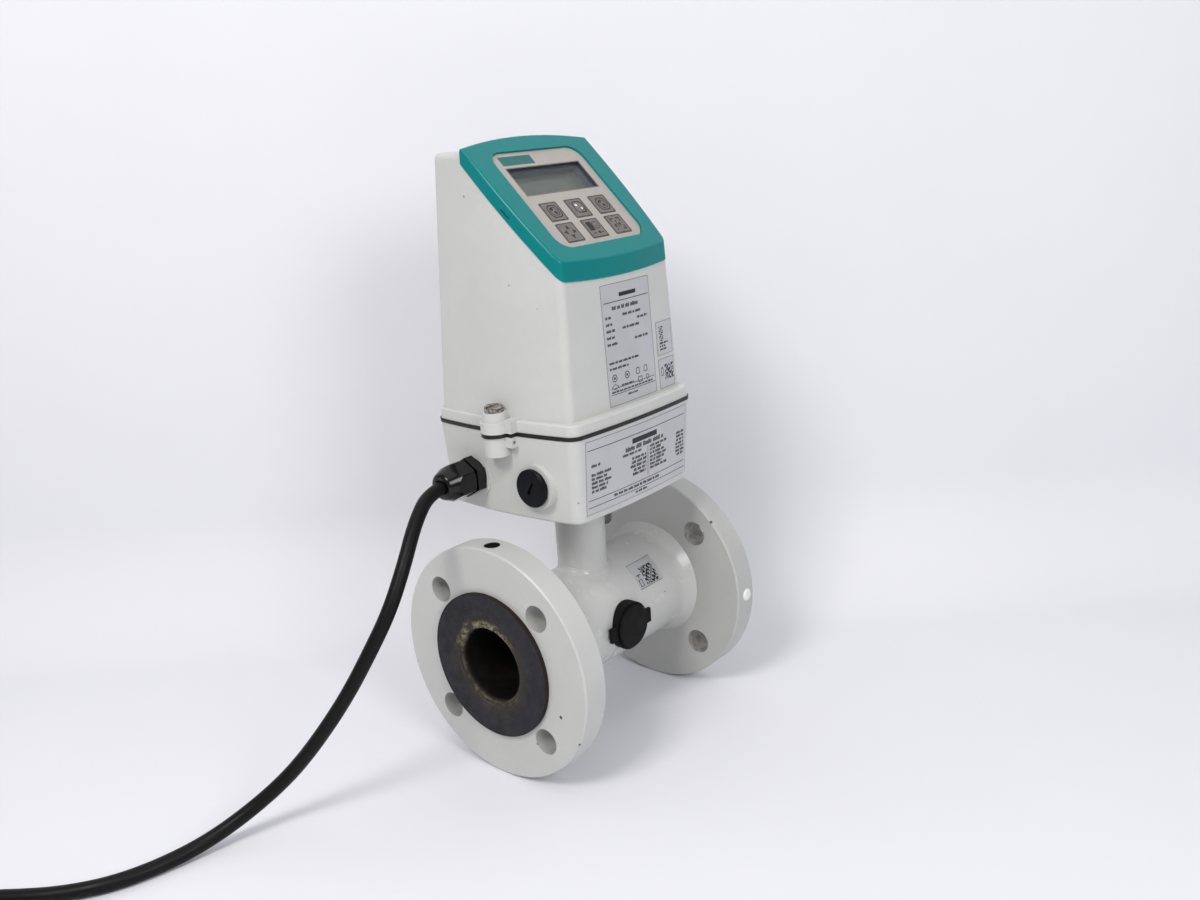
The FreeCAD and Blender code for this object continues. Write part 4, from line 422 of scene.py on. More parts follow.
def finish_liner(settings):
    """Dark rubber, turned on its face, scuffed round the bore and stained brown inside, with painted shade
    deep in the tube.
    """
    skin = Finish("lining", settings.liner, 0.55, specular=0.22)
    x, y, z = skin.split()
    radius = skin.reach(y, z)
    skin.mottle(0.02, 0.08, 4.0)
    wave = skin.math("SINE", skin.math("MULTIPLY_ADD", skin.noise(0.02, 2.0), 2.0, skin.times(radius, 2600)))
    skin.lay(skin.spread(wave, 0.2, 1.0), skin.shade(1.9), 0.2)
    frayed = skin.math("MULTIPLY_ADD", skin.noise(0.012, 3.0), 0.008, radius)
    skin.lay(skin.spread(frayed, 0.0445, 0.0325), tint(52, 46, 38), 0.75)
    past_edge = skin.spread(radius, BORE_EDGE, BORE_EDGE + 0.0015)
    ring = skin.times(skin.spread(frayed, 0.0375, 0.031), past_edge)
    skin.lay(skin.times(ring, skin.spread(skin.noise(0.003, 6.0, 0.7), 0.5, 0.72)), tint(96, 88, 72))
    upper = skin.spread(skin.math("MULTIPLY_ADD", y, 0.25, z), 0.009, 0.024)
    crust = skin.times(upper, skin.spread(skin.noise(0.0055, 6.0, 0.8), 0.46, 0.56))
    skin.lay(skin.times(skin.times(skin.spread(frayed, 0.0375, 0.0325), past_edge), crust),
             tint(146, 137, 115), 0.9)
    smear = skin.times(skin.spread(wave, -0.2, 0.9), skin.spread(skin.noise(0.014, 4.0), 0.48, 0.62))
    skin.lay(skin.times(ring, smear), tint(104, 95, 80), 0.5)
    skin.lay(skin.spread(skin.noise(0.0022, 4.0, 0.6), 0.71, 0.78), tint(120, 116, 106), 0.5)
    skin.lay(skin.spread(radius, LINER_RADIUS - 0.0007, LINER_RADIUS), tint(34, 24, 20), 0.9)
    # painted shade: the bore is made nearly black away from the tube's ends, where light hardly reaches
    first, last = LINER_ENDS
    inside = skin.times(skin.spread(x, first + 0.0002, first + 0.006),
                        skin.spread(x, last - 0.0002, last - 0.006))
    skin.lay(skin.times(inside, skin.spread(radius, 0.034, 0.03)), tint(11, 8, 6))
    skin.bump(wave, 0.00005, 0.4)
    skin.bump(skin.noise(0.002, 4.0), 0.0001, 0.6)
    skin.rub(0.006, 0.5, 0.75)
    return skin.material


def finish_key(settings):
    """Grey key with a speckled face and a darker border."""
    skin = Finish("key_rubber", settings.key, 0.55)
    skin.mottle(0.0016, 0.16, 5.0)
    skin.lay(skin.edges(0.0006), skin.shade(0.4), 0.6)
    skin.grain(0.0006, 0.00006, 0.7)
    skin.rub(0.004, 0.48, 0.62)
    return skin.material


def finish_screw(name):
    """Rough cast screw head."""
    skin = Finish(name, tint(168, 163, 156), 0.5, metallic=0.85)
    dark = skin.spread(skin.noise(0.0018, 6.0, 0.7), 0.4, 0.62)
    skin.paint(skin.mix(dark, tint(92, 88, 82), tint(190, 186, 178)))
    skin.bump(skin.noise(0.0012, 5.0), 0.0003, 0.8)
    skin.rub(0.002, 0.35, 0.6)
    return skin.material


def rim_hole(skin):
    """1 on the bare thread inside the tapped hole of the inlet flange's rim."""
    x, y, z = skin.split()
    away = skin.reach(skin.math("SUBTRACT", x, RIM_HOLE_X), y)
    inside = skin.times(skin.spread(away, RIM_HOLE_RADIUS + 0.0002, RIM_HOLE_RADIUS),
                        skin.spread(skin.reach(y, z), FLANGE_RADIUS - 0.0002, FLANGE_RADIUS - 0.0004))
    return skin.times(inside, skin.spread(z, 0.06, 0.062))


def add_neck_weld(paint):
    """Smoothed weld where the neck stands on the coil housing."""
    reach, sides, steps, overlap, toe_depth = 0.0034, 96, 7, 0.0012, 0.0008
    bead = bmesh.new()
    rings = []
    for side in range(sides):
        turn = math.tau * side / sides
        way = Vector((math.cos(turn), math.sin(turn), 0))
        foot = Vector((NECK_X, 0, 0)) + way * NECK_RADIUS
        toe = foot + way * reach
        seam = math.sqrt(HOUSING_RADIUS ** 2 - foot.y ** 2)
        drop = math.sqrt(HOUSING_RADIUS ** 2 - toe.y ** 2) - seam
        profile = [(-overlap, reach), (0, reach)]
        for step in range(1, steps):
            bend = math.pi / 2 * step / steps
            out, down = 1 - math.cos(bend), 1 - math.sin(bend)
            profile.append((reach * out, reach * down + drop * out ** 1.5))
        profile += [(reach, drop), (reach, drop - toe_depth), (-overlap, -overlap)]
        rings.append([bead.verts.new(foot + way * out + Vector((0, 0, seam + up))) for out, up in profile])
    for number in range(sides):
        here, after = rings[number], rings[(number + 1) % sides]
        count = len(here)
        for step in range(count):
            ahead = (step + 1) % count
            face = bead.faces.new((here[step], after[step], after[ahead], here[ahead]))
            face.smooth = 0 < step < count - 3
    bmesh.ops.recalc_face_normals(bead, faces=bead.faces)
    weld = add_mesh("neck_weld", bead, paint)
    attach(weld, METER)


class METER_OT_paint(bpy.types.Operator):
    """Paint the tube, the neck, the terminal box and the housing"""
    bl_idname = "meter.paint"
    bl_label = "Paint"

    def execute(self, context):
        settings = context.scene.meter_paint
        inlet_chips = [(0.0, -59.3, -21.3, 1.2), (0.2, -81.2, 19.5, 1.0), (0.2, -74.0, -37.0, 1.2),
                       (0.2, 73.6, 37.8, 1.1), (0.0, -36.0, -48.6, 0.8), (19.6, -80.0, -20.0, 1.0)]
        outlet_chips = [(174.2, -60.0, 56.5, 1.3)]
        housing_chips = [(143.3, -38.1, 7.5, 0.6)]
        cast_chips = [touch("transmitter_housing", (-40, 24.3, 304.3), 0.7),
                      touch("transmitter_housing", (-40, -9.5, 249.7), 0.6),
                      touch("transmitter_housing", (-40, -30.0, 236.0), 0.4),
                      touch("terminal_box", (-40, -53.0, 112.0), 0.6)]
        dress(finish_paint("inlet_paint", settings.pipe, settings, inlet_chips, hole=True), "inlet_flange")
        # the outlet flange takes the darker copy of the tube paint as painted shade, besides its dirt
        dress(finish_paint("shaded_outlet_paint", settings.outlet_painted_shade, settings, outlet_chips, dirt=True),
              "outlet_flange")
        dress(finish_paint("body_paint", settings.pipe, settings, housing_chips, gloss=0.14), "coil_housing",
              "neck")
        dress(finish_paint("casting_paint", settings.casting, settings, cast_chips,
                           chip_colour=tint(128, 122, 114)), "terminal_box", "transmitter_housing")
        add_neck_weld(finish_paint("weld_paint", settings.pipe, settings, gloss=0.26))
        return {"FINISHED"}


class METER_OT_trim(bpy.types.Operator):
    """Give the plastic and rubber pieces their finish"""
    bl_idname = "meter.trim"
    bl_label = "Plastic and rubber"

    def execute(self, context):
        settings = context.scene.meter_trim
        dress(finish_bezel(settings), "bezel")
        dress(finish_panel(settings), "front_panel")
        dress(finish_key(settings), *[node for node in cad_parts
                                      if node.startswith("key_") and node != "key_domes"])
        dress(finish_plastic("cap_plastic", settings.cap, 0.58, 0.2, specular=0.12), "port_caps",
              "memory_module", "board_socket", "base_plate", "power_transformer", "board_plug")
        dress(finish_plastic("gland_plastic", settings.gland, 0.13, 0.15, 0.0006, 0.000006, specular=0.4),
              "gland_body", "gland_nut", "gland_locknut")
        dress(finish_plastic("plug_plastic", settings.plug, 0.36, 0.12, 0.0006, 0.00003, specular=0.14),
              "blanking_plugs")
        dress(finish_plastic("seal_rubber", settings.gasket, 0.6, 0.2, specular=0.2), "gland_seal",
              "entry_washers")
        dress(finish_seal(settings), "box_gasket")
        dress(finish_liner(settings), "liner")
        dress(finish_plastic("white_nylon", tint(232, 232, 228), 0.45, 0.03), "rim_plug", "key_domes",
              "display_ribbon")
        glass = finish_plastic("display_glass", tint(120, 126, 126), 0.08, 0.03, 0.004, 0.00001)
        glass.node_tree.nodes["Principled BSDF"].inputs["Alpha"].default_value = 0.12
        dress(glass, "display_window")
        return {"FINISHED"}


class METER_OT_metals(bpy.types.Operator):
    """Give bare metal, boards, wires and windings their finish"""
    bl_idname = "meter.metals"
    bl_label = "Metal and boards"

    def execute(self, context):
        dress(finish_metal("turned_steel", tint(178, 178, 176), 0.32, (1, 4, 4)), "measuring_tube",
              "measuring_electrodes", "ground_electrode", "electrode_nuts", "pole_shoes", "magnet_yoke",
              "neck_screws", "base_screws")
        dress(finish_screw("cast_screw"), "cover_screws")
        dress(finish_metal("copper_wire", tint(190, 120, 78), 0.35, (8, 1, 1)), "field_coils")
        dress(finish_metal("brass", tint(196, 168, 104), 0.3), "earth_terminal")
        dress(finish_metal("tinned", tint(206, 202, 194), 0.28), "ferrules")
        dress(finish_plastic("board_lacquer", tint(38, 104, 62), 0.35, 0.15, 0.0015), "connection_board",
              "main_board", "display_board")
        dress(finish_plastic("terminal_green", tint(52, 140, 78), 0.42), "terminal_blocks")
        dress(finish_plastic("core_jacket", tint(104, 70, 48), 0.45), "cable_cores", "supply_wires",
              "sensor_leads")
        return {"FINISHED"}


# ---- cable ----

CABLE_ROUTE = [
    (8.1, 30.6, 120.9), (-11.9, 30.6, 120.9), (-33, 23, 108.5), (-53, 15, 86), (-69, 14, 62),
    (-82.5, 20, 39), (-95, 31, 12), (-108.5, 47.5, -17), (-122.5, 64, -42), (-143, 80, -62),
    (-172, 92, -75.5), (-202, 98, -77.75), (-229, 107, -77.75), (-252, 124, -77.75), (-271, 146, -77.75),
    (-288, 169, -77.75), (-305, 191, -77.75)]
COIL_LEAD = 51.6
TAIL_STEPS = [(0, -26, 0), (7, -51, 0), (19, -74, 0)]
TURN_POINTS = 14
TURN_STRAIGHT = 0.7          # share of a turn before it crosses to the next one
LEAVING_ANGLE = math.pi


def around(angle):
    """Level direction at that angle."""
    return Vector((math.cos(angle), math.sin(angle), 0))


def coil_points(settings):
    """Centre and points of the coil: two turns beside each other, layer on layer."""
    before, start = [Vector(point) * MM for point in CABLE_ROUTE[-2:]]
    heading = (start - before).normalized()
    gauge = settings.diameter
    outer = (settings.turn + gauge) / 2
    start = start + heading * COIL_LEAD * MM
    centre = start + Vector((-heading.y, heading.x, 0)) * outer
    first = math.atan2(start.y - centre.y, start.x - centre.x)
    points = []
    for layer in range(settings.layers):
        radii = (outer, outer - gauge) if layer % 2 == 0 else (outer - gauge, outer)
        for turn, radius in enumerate(radii):
            last_turn = turn + 1 == len(radii)
            target = radius if last_turn else radii[turn + 1]
            for step in range(TURN_POINTS):
                share = step / TURN_POINTS
                blend = max(0.0, (share - TURN_STRAIGHT) / (1 - TURN_STRAIGHT))
                reach = (radius + (target - radius) * blend) / math.cos(math.pi / TURN_POINTS)
                rise = gauge * layer
                if last_turn and layer + 1 < settings.layers:
                    rise += gauge * blend
                points.append(centre + around(first + math.tau * share) * reach + Vector((0, 0, rise)))
    return centre, outer, first, points


class METER_OT_cable(bpy.types.Operator):
    """Lay the supply cable from the gland to the floor and into its coil"""
    bl_idname = "meter.cable"
    bl_label = "Cable"

    def execute(self, context):
        settings = context.scene.meter_cable
        centre, outer, first, turns = coil_points(settings)
        path = [Vector(point) * MM for point in CABLE_ROUTE] + turns
        top = Vector((0, 0, turns[-1].z - centre.z))
        steps = round((LEAVING_ANGLE - first) / (math.tau / TURN_POINTS))
        for step in range(steps):
            turn = first + (LEAVING_ANGLE - first) * step / steps
            path.append(centre + around(turn) * outer + top)
        leave = centre + around(LEAVING_ANGLE) * outer
        away = Vector((-math.sin(LEAVING_ANGLE), math.cos(LEAVING_ANGLE), 0))
        loose = leave + away * COIL_LEAD * MM
        path += [leave + top, leave + away * 0.022 + top * 0.5, loose]
        path += [loose + Vector(step) * MM for step in TAIL_STEPS]
        curve = bpy.data.curves.new("supply_cable", "CURVE")
        curve.dimensions = "3D"
        curve.bevel_depth = settings.diameter / 2
        curve.bevel_resolution = 6
        curve.resolution_u = 10
        curve.use_fill_caps = True
        spline = curve.splines.new("NURBS")
        spline.points.add(len(path) - 1)
        for point, place in zip(spline.points, path):
            point.co = (*place, 1)
        spline.order_u = 3
        spline.use_endpoint_u = True
        cable = add_object("supply_cable", curve)
        curve.materials.append(finish_plastic("cable_jacket", settings.jacket, 0.42, 0.12, 0.003, 0.00008,
                                              specular=0.18))
        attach(cable, METER)
        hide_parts("cable", "cable_coil", "cable_tail")
        return {"FINISHED"}


# ---- print ----

def wall_place(x, z):
    """Ray on to the upright front walls."""
    return Vector((x * MM, -0.09, z * MM)), Vector((0, 1, 0))


def face_point(across, up):
    """Point of the slanted face, measured from its foot in millimetres."""
    return FACE_FOOT + PIPE_AXIS * across * MM + FACE_UP * up * MM


def face_place(across, up):
    """Ray on to the slanted face."""
    return face_point(across, up) + FACE_OUT * 0.02, -FACE_OUT


def body_place(x, angle):
    """Ray on to the coil housing; the angle in degrees from the top to the front."""
    out = Vector((0, -math.sin(math.radians(angle)), math.cos(math.radians(angle))))
    return PIPE_AXIS * x * MM + out * 0.07, -out


class Print:
    """Thin raised marks on the surface of a CAD node, measured from the given origin."""

    def __init__(self, node, place, lift, origin=(0, 0), chance=None):
        self.tree = surface_of(node)
        self.place = place
        self.lift = lift
        self.origin = origin
        self.chance = chance
        self.mesh = bmesh.new()

    def drop(self, u, v):
        """Upper and lower point of a mark where its ray meets the plate."""
        start, way = self.place(u + self.origin[0], v + self.origin[1])
        spot = self.tree.ray_cast(start, way)[0]
        if spot is None:
            raise RuntimeError("a printed mark misses its plate at %.2f, %.2f" % (u, v))
        return self.mesh.verts.new(spot - way * self.lift), self.mesh.verts.new(spot + way * self.lift)

    def ribbon(self, pairs, closed=False):
        """A raised band between pairs of points on its two sides."""
        rows = [(self.drop(*left), self.drop(*right)) for left, right in pairs]
        count = len(rows)
        for number in range(count if closed else count - 1):
            (lt, lb), (rt, rb) = rows[number]
            (nlt, nlb), (nrt, nrb) = rows[(number + 1) % count]
            for corners in ((lt, rt, nrt, nlt), (lb, nlb, nrb, rb), (lt, nlt, nlb, lb), (rt, rb, nrb, nrt)):
                self.mesh.faces.new(corners)
        if not closed:
            (lt, lb), (rt, rb) = rows[0]
            self.mesh.faces.new((lt, lb, rb, rt))
            (lt, lb), (rt, rb) = rows[-1]
            self.mesh.faces.new((lt, rt, rb, lb))

    def bar(self, u0, v0, u1, v1, step=5.0):
        """Rectangle, divided along its length so that it follows a bowed plate."""
        parts = max(1, math.ceil(abs(u1 - u0) / step))
        ends = [u0 + (u1 - u0) * part / parts for part in range(parts + 1)]
        self.ribbon([((u, v0), (u, v1)) for u in ends])

    def ring(self, u, v, outer, inner, sides=20):
        turns = [math.tau * side / sides for side in range(sides)]
        self.ribbon([[(u + reach * math.cos(turn), v + reach * math.sin(turn)) for reach in (outer, inner)]
                     for turn in turns], closed=True)

    def disc(self, u, v, radius, rows=7):
        cuts = [math.pi * (row + 0.5) / rows for row in range(rows)]
        self.ribbon([[(u + side * radius * math.sin(cut), v + radius * math.cos(cut)) for side in (-1, 1)]
                     for cut in cuts])

    def line(self, points, width, closed=False):
        """Band of even width along a bent line."""
        pairs = []
        count = len(points)
        for number, here in enumerate(points):
            before = points[number - 1] if closed or number else here
            after = points[(number + 1) % count] if closed or number + 1 < count else here
            into = Vector((here[0] - before[0], here[1] - before[1]))
            out = Vector((after[0] - here[0], after[1] - here[1]))
            into = into.normalized() if into.length else out.normalized()
            out = out.normalized() if out.length else into
            way = (into + out).normalized()
            side = Vector((-way.y, way.x)) * (width / 2 / max(0.4, way.dot(into)))
            pairs.append(((here[0] + side.x, here[1] + side.y), (here[0] - side.x, here[1] - side.y)))
        self.ribbon(pairs, closed)

    def loop(self, points, width):
        self.line(points, width, closed=True)

    def box(self, u0, v0, u1, v1, width):
        """Closed line through four corners."""
        self.loop([(u0, v0), (u1, v0), (u1, v1), (u0, v1)], width)

    def border(self, wide, tall, width):
        """Line just inside the edge of a plate that hangs from the origin."""
        inset = 0.1
        low, high, right = inset - tall, -inset, wide - inset
        self.bar(inset, low, right, low + width)
        self.bar(inset, high - width, right, high)
        for u in (inset, right - width):
            self.bar(u, low + width, u + width, high - width)

    def row(self, u0, u1, v, height, words):
        """Broken row of small upright blocks, as long as a row of print."""
        at = u0
        stroke = height * 0.36
        for _ in range(words):
            for _ in range(self.chance.randint(3, 8)):
                if at + stroke > u1:
                    return
                tall = height * (1.2 if self.chance.random() < 0.4 else 0.95)
                self.bar(at, v, at + stroke, v + tall)
                at += stroke * 1.28
            at += height * 0.55

    def mosaic(self, u0, v0, cells, wide, tall):
        """Woven pattern of small cells."""
        for row in range(cells):
            for column in range(cells):
                if (row * column + 2 * row + column) % 3 == 0 or (row + column) % 5 == 0 \
                        or (row - column) % 4 == 1:
                    self.bar(u0 + column * wide, v0 + row * tall, u0 + (column + 1) * wide,
                             v0 + (row + 1) * tall)

    def piece(self, name, material, body, slot):
        """Turn the marks into a piece that rides on the body."""
        bmesh.ops.recalc_face_normals(self.mesh, faces=self.mesh.faces)
        made = add_mesh(name, self.mesh, material)
        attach(made, body)


def finish_ink(name, colour):
    """Flat print, a little thin in places."""
    skin = Finish(name, colour, 0.5)
    skin.mottle(0.002, 0.2, 4.0)
    skin.rub(0.002, 0.42, 0.6)
    return skin.material


def print_rating(lift, chance):
    """Upright plate: header, rows of data, small marks and footer."""
    wide, tall = 50.5, 79.0
    sheet = Print("rating_label", wall_place, lift, (75.5, 245.0), chance)
    sheet.border(wide, tall, 0.22)
    sheet.bar(18, -9.2, wide - 15, -6.6)
    sheet.bar(2.5, -12.0, wide - 1.5, -11.5)
    sheet.row(10, wide - 9, -17.0, 2.2, 5)
    for number, span in enumerate(((20, 46), (35, 47), (19, 47), None, (31, 47))):
        v = -22.2 - number * 4.3
        sheet.row(2.8, 17, v, 1.5, 2)
        if span:
            sheet.row(*span, v + 0.3, 1.5, 4)
    sheet.row(2.8, 42, -51.5, 1.4, 7)
    sheet.row(2.8, 31, -55.2, 1.4, 5)
    v = -60.2
    for u in (6.8, 19.5):
        sheet.ring(u, v - 0.6, 2.5, 1.9)
        sheet.disc(u, v - 0.6, 0.9)
    for u in (31, 39.5):
        sheet.loop([(u - 1.8, v - 1.8), (u, v - 2.6), (u + 1.8, v - 1.8), (u + 1.4, v + 1.6),
                    (u - 1.4, v + 1.6)], 0.5)
    v -= 6.4
    sheet.loop([(3.6, v), (6.8, v + 1.9), (10, v), (6.8, v - 1.9)], 0.4)
    sheet.row(13, 26, v - 0.5, 1.0, 4)
    sheet.box(31, v - 1.6, 35, v + 1.6, 0.5)
    sheet.ring(41, v, 1.8, 1.3)
    sheet.bar(2.5, -71.6, wide - 1.5, -71.2)
    sheet.row(3, wide - 2, -70.4, 1.1, 12)
    sheet.bar(2.5, -67.6, wide - 1.5, -67.2)
    sheet.row(19, wide - 16, -74.3, 1.1, 3)
    return sheet


def print_small(lift, chance):
    """Two small plates beside the upright one."""
    wide, upper, lower = 18.5, 212.0, 186.5
    sheet = Print("side_labels", wall_place, lift, (130.5, upper), chance)
    sheet.border(wide, 23.0, 0.2)
    sheet.origin = (130.5, lower)
    sheet.border(wide, 20.5, 0.2)
    sheet.origin = (130.5, upper)
    for row in range(8):
        for column in range(4):
            if (row + column * 2) % 3:
                u, v = 3.4 + column * 1.2, -13.6 + row * 1.3
                sheet.bar(u, v, u + 1.0, v + 1.0)
    for row, end in enumerate((13.5, 10, 12)):
        sheet.row(3.2, end, -15.6 - row * 2.1, 1.2, 3)
    sheet.origin = (130.5, lower)
    sheet.mosaic(7.0, -15.1, 11, 0.96, 0.96)
    sheet.box(2.6, -11.5, 5.0, -6.5, 0.45)
    sheet.bar(3.3, -6.3, 4.3, -5.6)
    return sheet


def print_box(lift, chance):
    """Wide plate of the terminal box."""
    wide, tall = 108.0, 50.0
    sheet = Print("box_label", wall_place, lift, (43.5, 151.5), chance)
    sheet.border(wide, tall, 0.22)
    sheet.bar(2, -6.6, wide - 2, -6.1)
    sheet.bar(45, -12.4, wide - 36, -8.8)
    sheet.row(38, wide - 28, -16.6, 2.6, 7)
    sheet.bar(61.5, 11.6 - tall, 62.0, -18.2)
    sheet.row(5, 17, -18.2, 1.6, 2)
    sheet.row(35, 60, -19.4, 1.6, 4)
    for row in range(5):
        v = -24.4 - row * 2.8
        sheet.row(5, 16 + 12 * chance.random(), v, 1.7, 3)
        sheet.row(42 + 5 * chance.random(), 60, v + 0.8, 1.7, 4)
    for row in range(7):
        v = -19.6 - row * 2.6
        sheet.row(64, 78 + 8 * chance.random(), v, 1.6, 4)
        sheet.row(93 + 4 * chance.random(), 106, v + 0.4, 1.6, 3)
    sheet.bar(2, 9.4 - tall, wide - 2, 9.85 - tall)
    sheet.row(26, wide - 22, 6.4 - tall, 1.6, 10)
    sheet.bar(2, 4.6 - tall, wide - 2, 5.05 - tall)
    sheet.row(48, wide - 42, 2.2 - tall, 1.4, 3)
    return sheet


def print_body(lift):
    """Small plate on the coil housing, measured by angle across."""
    sheet = Print("body_label", body_place, lift * 3, (119.5, 0))
    for u in (0.15, 25.6):
        sheet.bar(u, 33.9, u + 0.25, 64.1)
    for angle in (33.9, 63.7):
        sheet.bar(0.4, angle, 25.6, angle + 0.35)
    sheet.mosaic(8.2, 41.8, 14, 1.0, 1.48)
    sheet.box(1.8, 54, 5.0, 61.5, 0.55)
    sheet.bar(2.0, 48.4, 6.2, 49.4)
    sheet.bar(3.4, 49.4, 4.0, 51.6)
    return sheet


class METER_OT_labels(bpy.types.Operator):
    """Make the silver plates and their print"""
    bl_idname = "meter.labels"
    bl_label = "Plates"

    def execute(self, context):
        settings = context.scene.meter_labels
        chance = random.Random(settings.seed)
        film = Finish("silver_film", settings.silver, 0.36, metallic=0.25)
        film.mottle(0.02, 0.03, 3.0)
        film.rub(0.008, 0.3, 0.42)
        film.grain(0.003, 0.00003, 0.4)
        dress(film.material, "rating_label", "side_labels", "box_label", "body_label")
        ink = finish_ink("label_ink", settings.ink)
        for name, sheet in (("rating_print", print_rating(settings.lift, chance)),
                            ("small_print", print_small(settings.lift, chance)),
                            ("box_print", print_box(settings.lift, chance)),
                            ("body_print", print_body(settings.lift))):
            sheet.piece(name, ink, METER, "silver_label")
        return {"FINISHED"}


# ---- keypad ----

KEY_COLUMNS = {"left": -23.9, "centre": 0.0, "right": 23.9}
KEY_ROWS = {"lower": 18.7, "upper": 36.8}


def rounded_square(u, v, half, corner, parts=4):
    """Outline of a square with round corners."""
    points = []
    for quarter in range(4):
        middle = math.radians(45 + 90 * quarter)
        cu = u + (half - corner) * (1 if math.cos(middle) > 0 else -1)
        cv = v + (half - corner) * (1 if math.sin(middle) > 0 else -1)
        for part in range(parts + 1):
            turn = middle - math.pi / 4 + math.pi / 2 * part / parts
            points.append((cu + corner * math.cos(turn), cv + corner * math.sin(turn)))
    return points


def key_two_dots(sheet):
    sheet.loop(rounded_square(0.9, 0, 5.0, 3.4), 0.85)
    sheet.loop(rounded_square(0.9, 0, 3.3, 2.4), 0.6)
    sheet.disc(-0.5, 2.1, 1.35)
    sheet.disc(1.4, -1.0, 1.35)


def key_arrows(sheet):
    middle = Vector((0.4, 0.3))
    for turn in range(4):
        way = Vector((math.cos(turn * math.pi / 2), math.sin(turn * math.pi / 2)))
        side = Vector((-way.y, way.x))
        tip, base = middle + way * 5.6, middle + way * 2.6
        sheet.ribbon([(tip + side * 0.15, tip - side * 0.15), (base + side * 1.8, base - side * 1.8)])


def key_screen(sheet):
    sheet.bar(-5.2, -2.0, -0.4, 5.5)
    sheet.loop(rounded_square(3.0, 2.2, 2.7, 1.2, 2), 0.5)
    sheet.bar(2.2, 1.2, 3.8, 1.8)
    sheet.disc(1.6, -4.0, 1.2)
    sheet.bar(-4.8, -4.6, -1.6, -3.9)
    sheet.bar(3.6, -4.4, 5.4, -3.7)


def key_corner_arrow(sheet):
    for corner in ([(-4.4, 2.0), (-4.4, 4.6), (-1.4, 4.6)], [(1.2, 4.8), (4.4, 4.8), (4.4, 1.6)],
                   [(4.8, -1.4), (4.8, -4.6), (1.8, -4.6)]):
        sheet.line(corner, 0.85)
    sheet.ribbon([((-4.8, -1.2), (-4.8, -1.5)), ((-2.4, 0.6), (-2.4, -3.2))])
    sheet.ribbon([((0.2, -0.2), (0.2, -0.5)), ((2.4, 1.4), (2.4, -2.2))])
    sheet.bar(-0.9, -3.0, -0.3, 2.2)
    for u, v in ((-5.2, 5.6), (0.2, 2.9), (-3.6, -4.6)):
        sheet.disc(u, v, 0.6)


def key_ring(sheet):
    sheet.loop(rounded_square(1.2, 0.5, 4.6, 2.8), 0.85)
    sheet.loop(rounded_square(3.2, -2.6, 1.5, 0.8, 2), 0.65)
    sheet.disc(-4.6, 4.6, 0.6)


KEY_MARKS = {"upper_left": key_two_dots, "upper_centre": key_ring, "upper_right": key_two_dots,
             "lower_left": key_arrows, "lower_centre": key_screen, "lower_right": key_corner_arrow}


class METER_OT_keypad(bpy.types.Operator):
    """Print the six keys and the strip above the display"""
    bl_idname = "meter.keypad"
    bl_label = "Keypad"

    def execute(self, context):
        settings = context.scene.meter_trim
        lift = context.scene.meter_labels.lift
        ink = finish_ink("key_ink", settings.key_ink)
        white = finish_ink("key_white", tint(235, 235, 232))
        for row, v in KEY_ROWS.items():
            for column, u in KEY_COLUMNS.items():
                key = "%s_%s" % (row, column)
                sheet = Print("key_" + key, face_place, lift, (u, v))
                sheet.loop(rounded_square(0, 0, 7.4, 0.6, 2), 0.5)
                KEY_MARKS[key](sheet)
                sheet.piece("key_%s_print" % key, ink, "key_%s_body" % key, "key_rubber")
        dots = Print("key_upper_centre", face_place, lift * 1.2, (KEY_COLUMNS["centre"], KEY_ROWS["upper"]))
        dots.disc(-0.4, 2.3, 1.0)
        dots.disc(2.8, -0.9, 0.85)
        dots.piece("key_upper_centre_lamps", white, "key_upper_centre_body", "key_rubber")
        strip = Print("front_panel", face_place, lift)
        strip.bar(-35.2, 78.6, -5.2, 86.4)
        strip.piece("panel_strip", finish_plastic("strip_film", settings.strip, 0.4), METER, "teal_plastic")
        rim = Print("front_panel", face_place, lift)
        half, low, high = WINDOW
        gap = 0.35
        rim.box(-half - gap, low - gap, half + gap, high + gap, 0.45)
        rim.piece("window_line", finish_ink("window_ink", tint(84, 82, 82)), METER, "panel_plastic")
        return {"FINISHED"}


class METER_OT_display(bpy.types.Operator):
    """Make the recessed display behind its window"""
    bl_idname = "meter.display"
    bl_label = "Display"

    def execute(self, context):
        half, low, high = WINDOW
        front, ledge, floor = -4.75, -5.62, -8.9
        tray = bmesh.new()

        def ring(out, level):
            """Four corners that far outside the window, at a height on the face's normal."""
            return [tray.verts.new(face_point(u, v) + FACE_OUT * level * MM)
                    for u, v in ((-half - out, low - out), (half + out, low - out),
                                 (half + out, high + out), (-half - out, high + out))]

        loops = [ring(*place) for place in (
            (-1.75, floor), (-1.75, ledge), (-0.2, ledge), (-0.2, front), (1.4, front), (1.4, ledge + 0.02),
            (-1.7, ledge - 0.04), (-1.7, floor - 0.8))]
        for below, above in zip(loops, loops[1:]):
            for number in range(4):
                after = (number + 1) % 4
                tray.faces.new((below[number], below[after], above[after], above[number]))
        cell = tray.faces.new(loops[0])
        cell.material_index = 1
        tray.faces.new(list(reversed(loops[-1])))
        bmesh.ops.recalc_face_normals(tray, faces=tray.faces)
        glass = Finish("display_cell", tint(96, 101, 94), 0.18)
        glass.mottle(0.03, 0.08, 2.0)
        glass.rub(0.01, 0.14, 0.22)
        made = add_mesh("display_tray", tray, finish_plastic("display_wall", tint(88, 94, 104), 0.4, 0.08),
                        glass.material)
        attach(made, METER)
        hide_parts("display_module")
        return {"FINISHED"}


# ---- stage ----

CAMERA_TARGET = Vector((124.086, 0, 116.714)) * MM
CAMERA_AZIMUTH = math.radians(-49.259)
CAMERA_ELEVATION = math.radians(16.738)
CAMERA_ROLL = math.radians(-3.618)
CAMERA_DISTANCE = 0.818918
CAMERA_LENS = 34.0737
LAMP_DISTANCE = 1.5


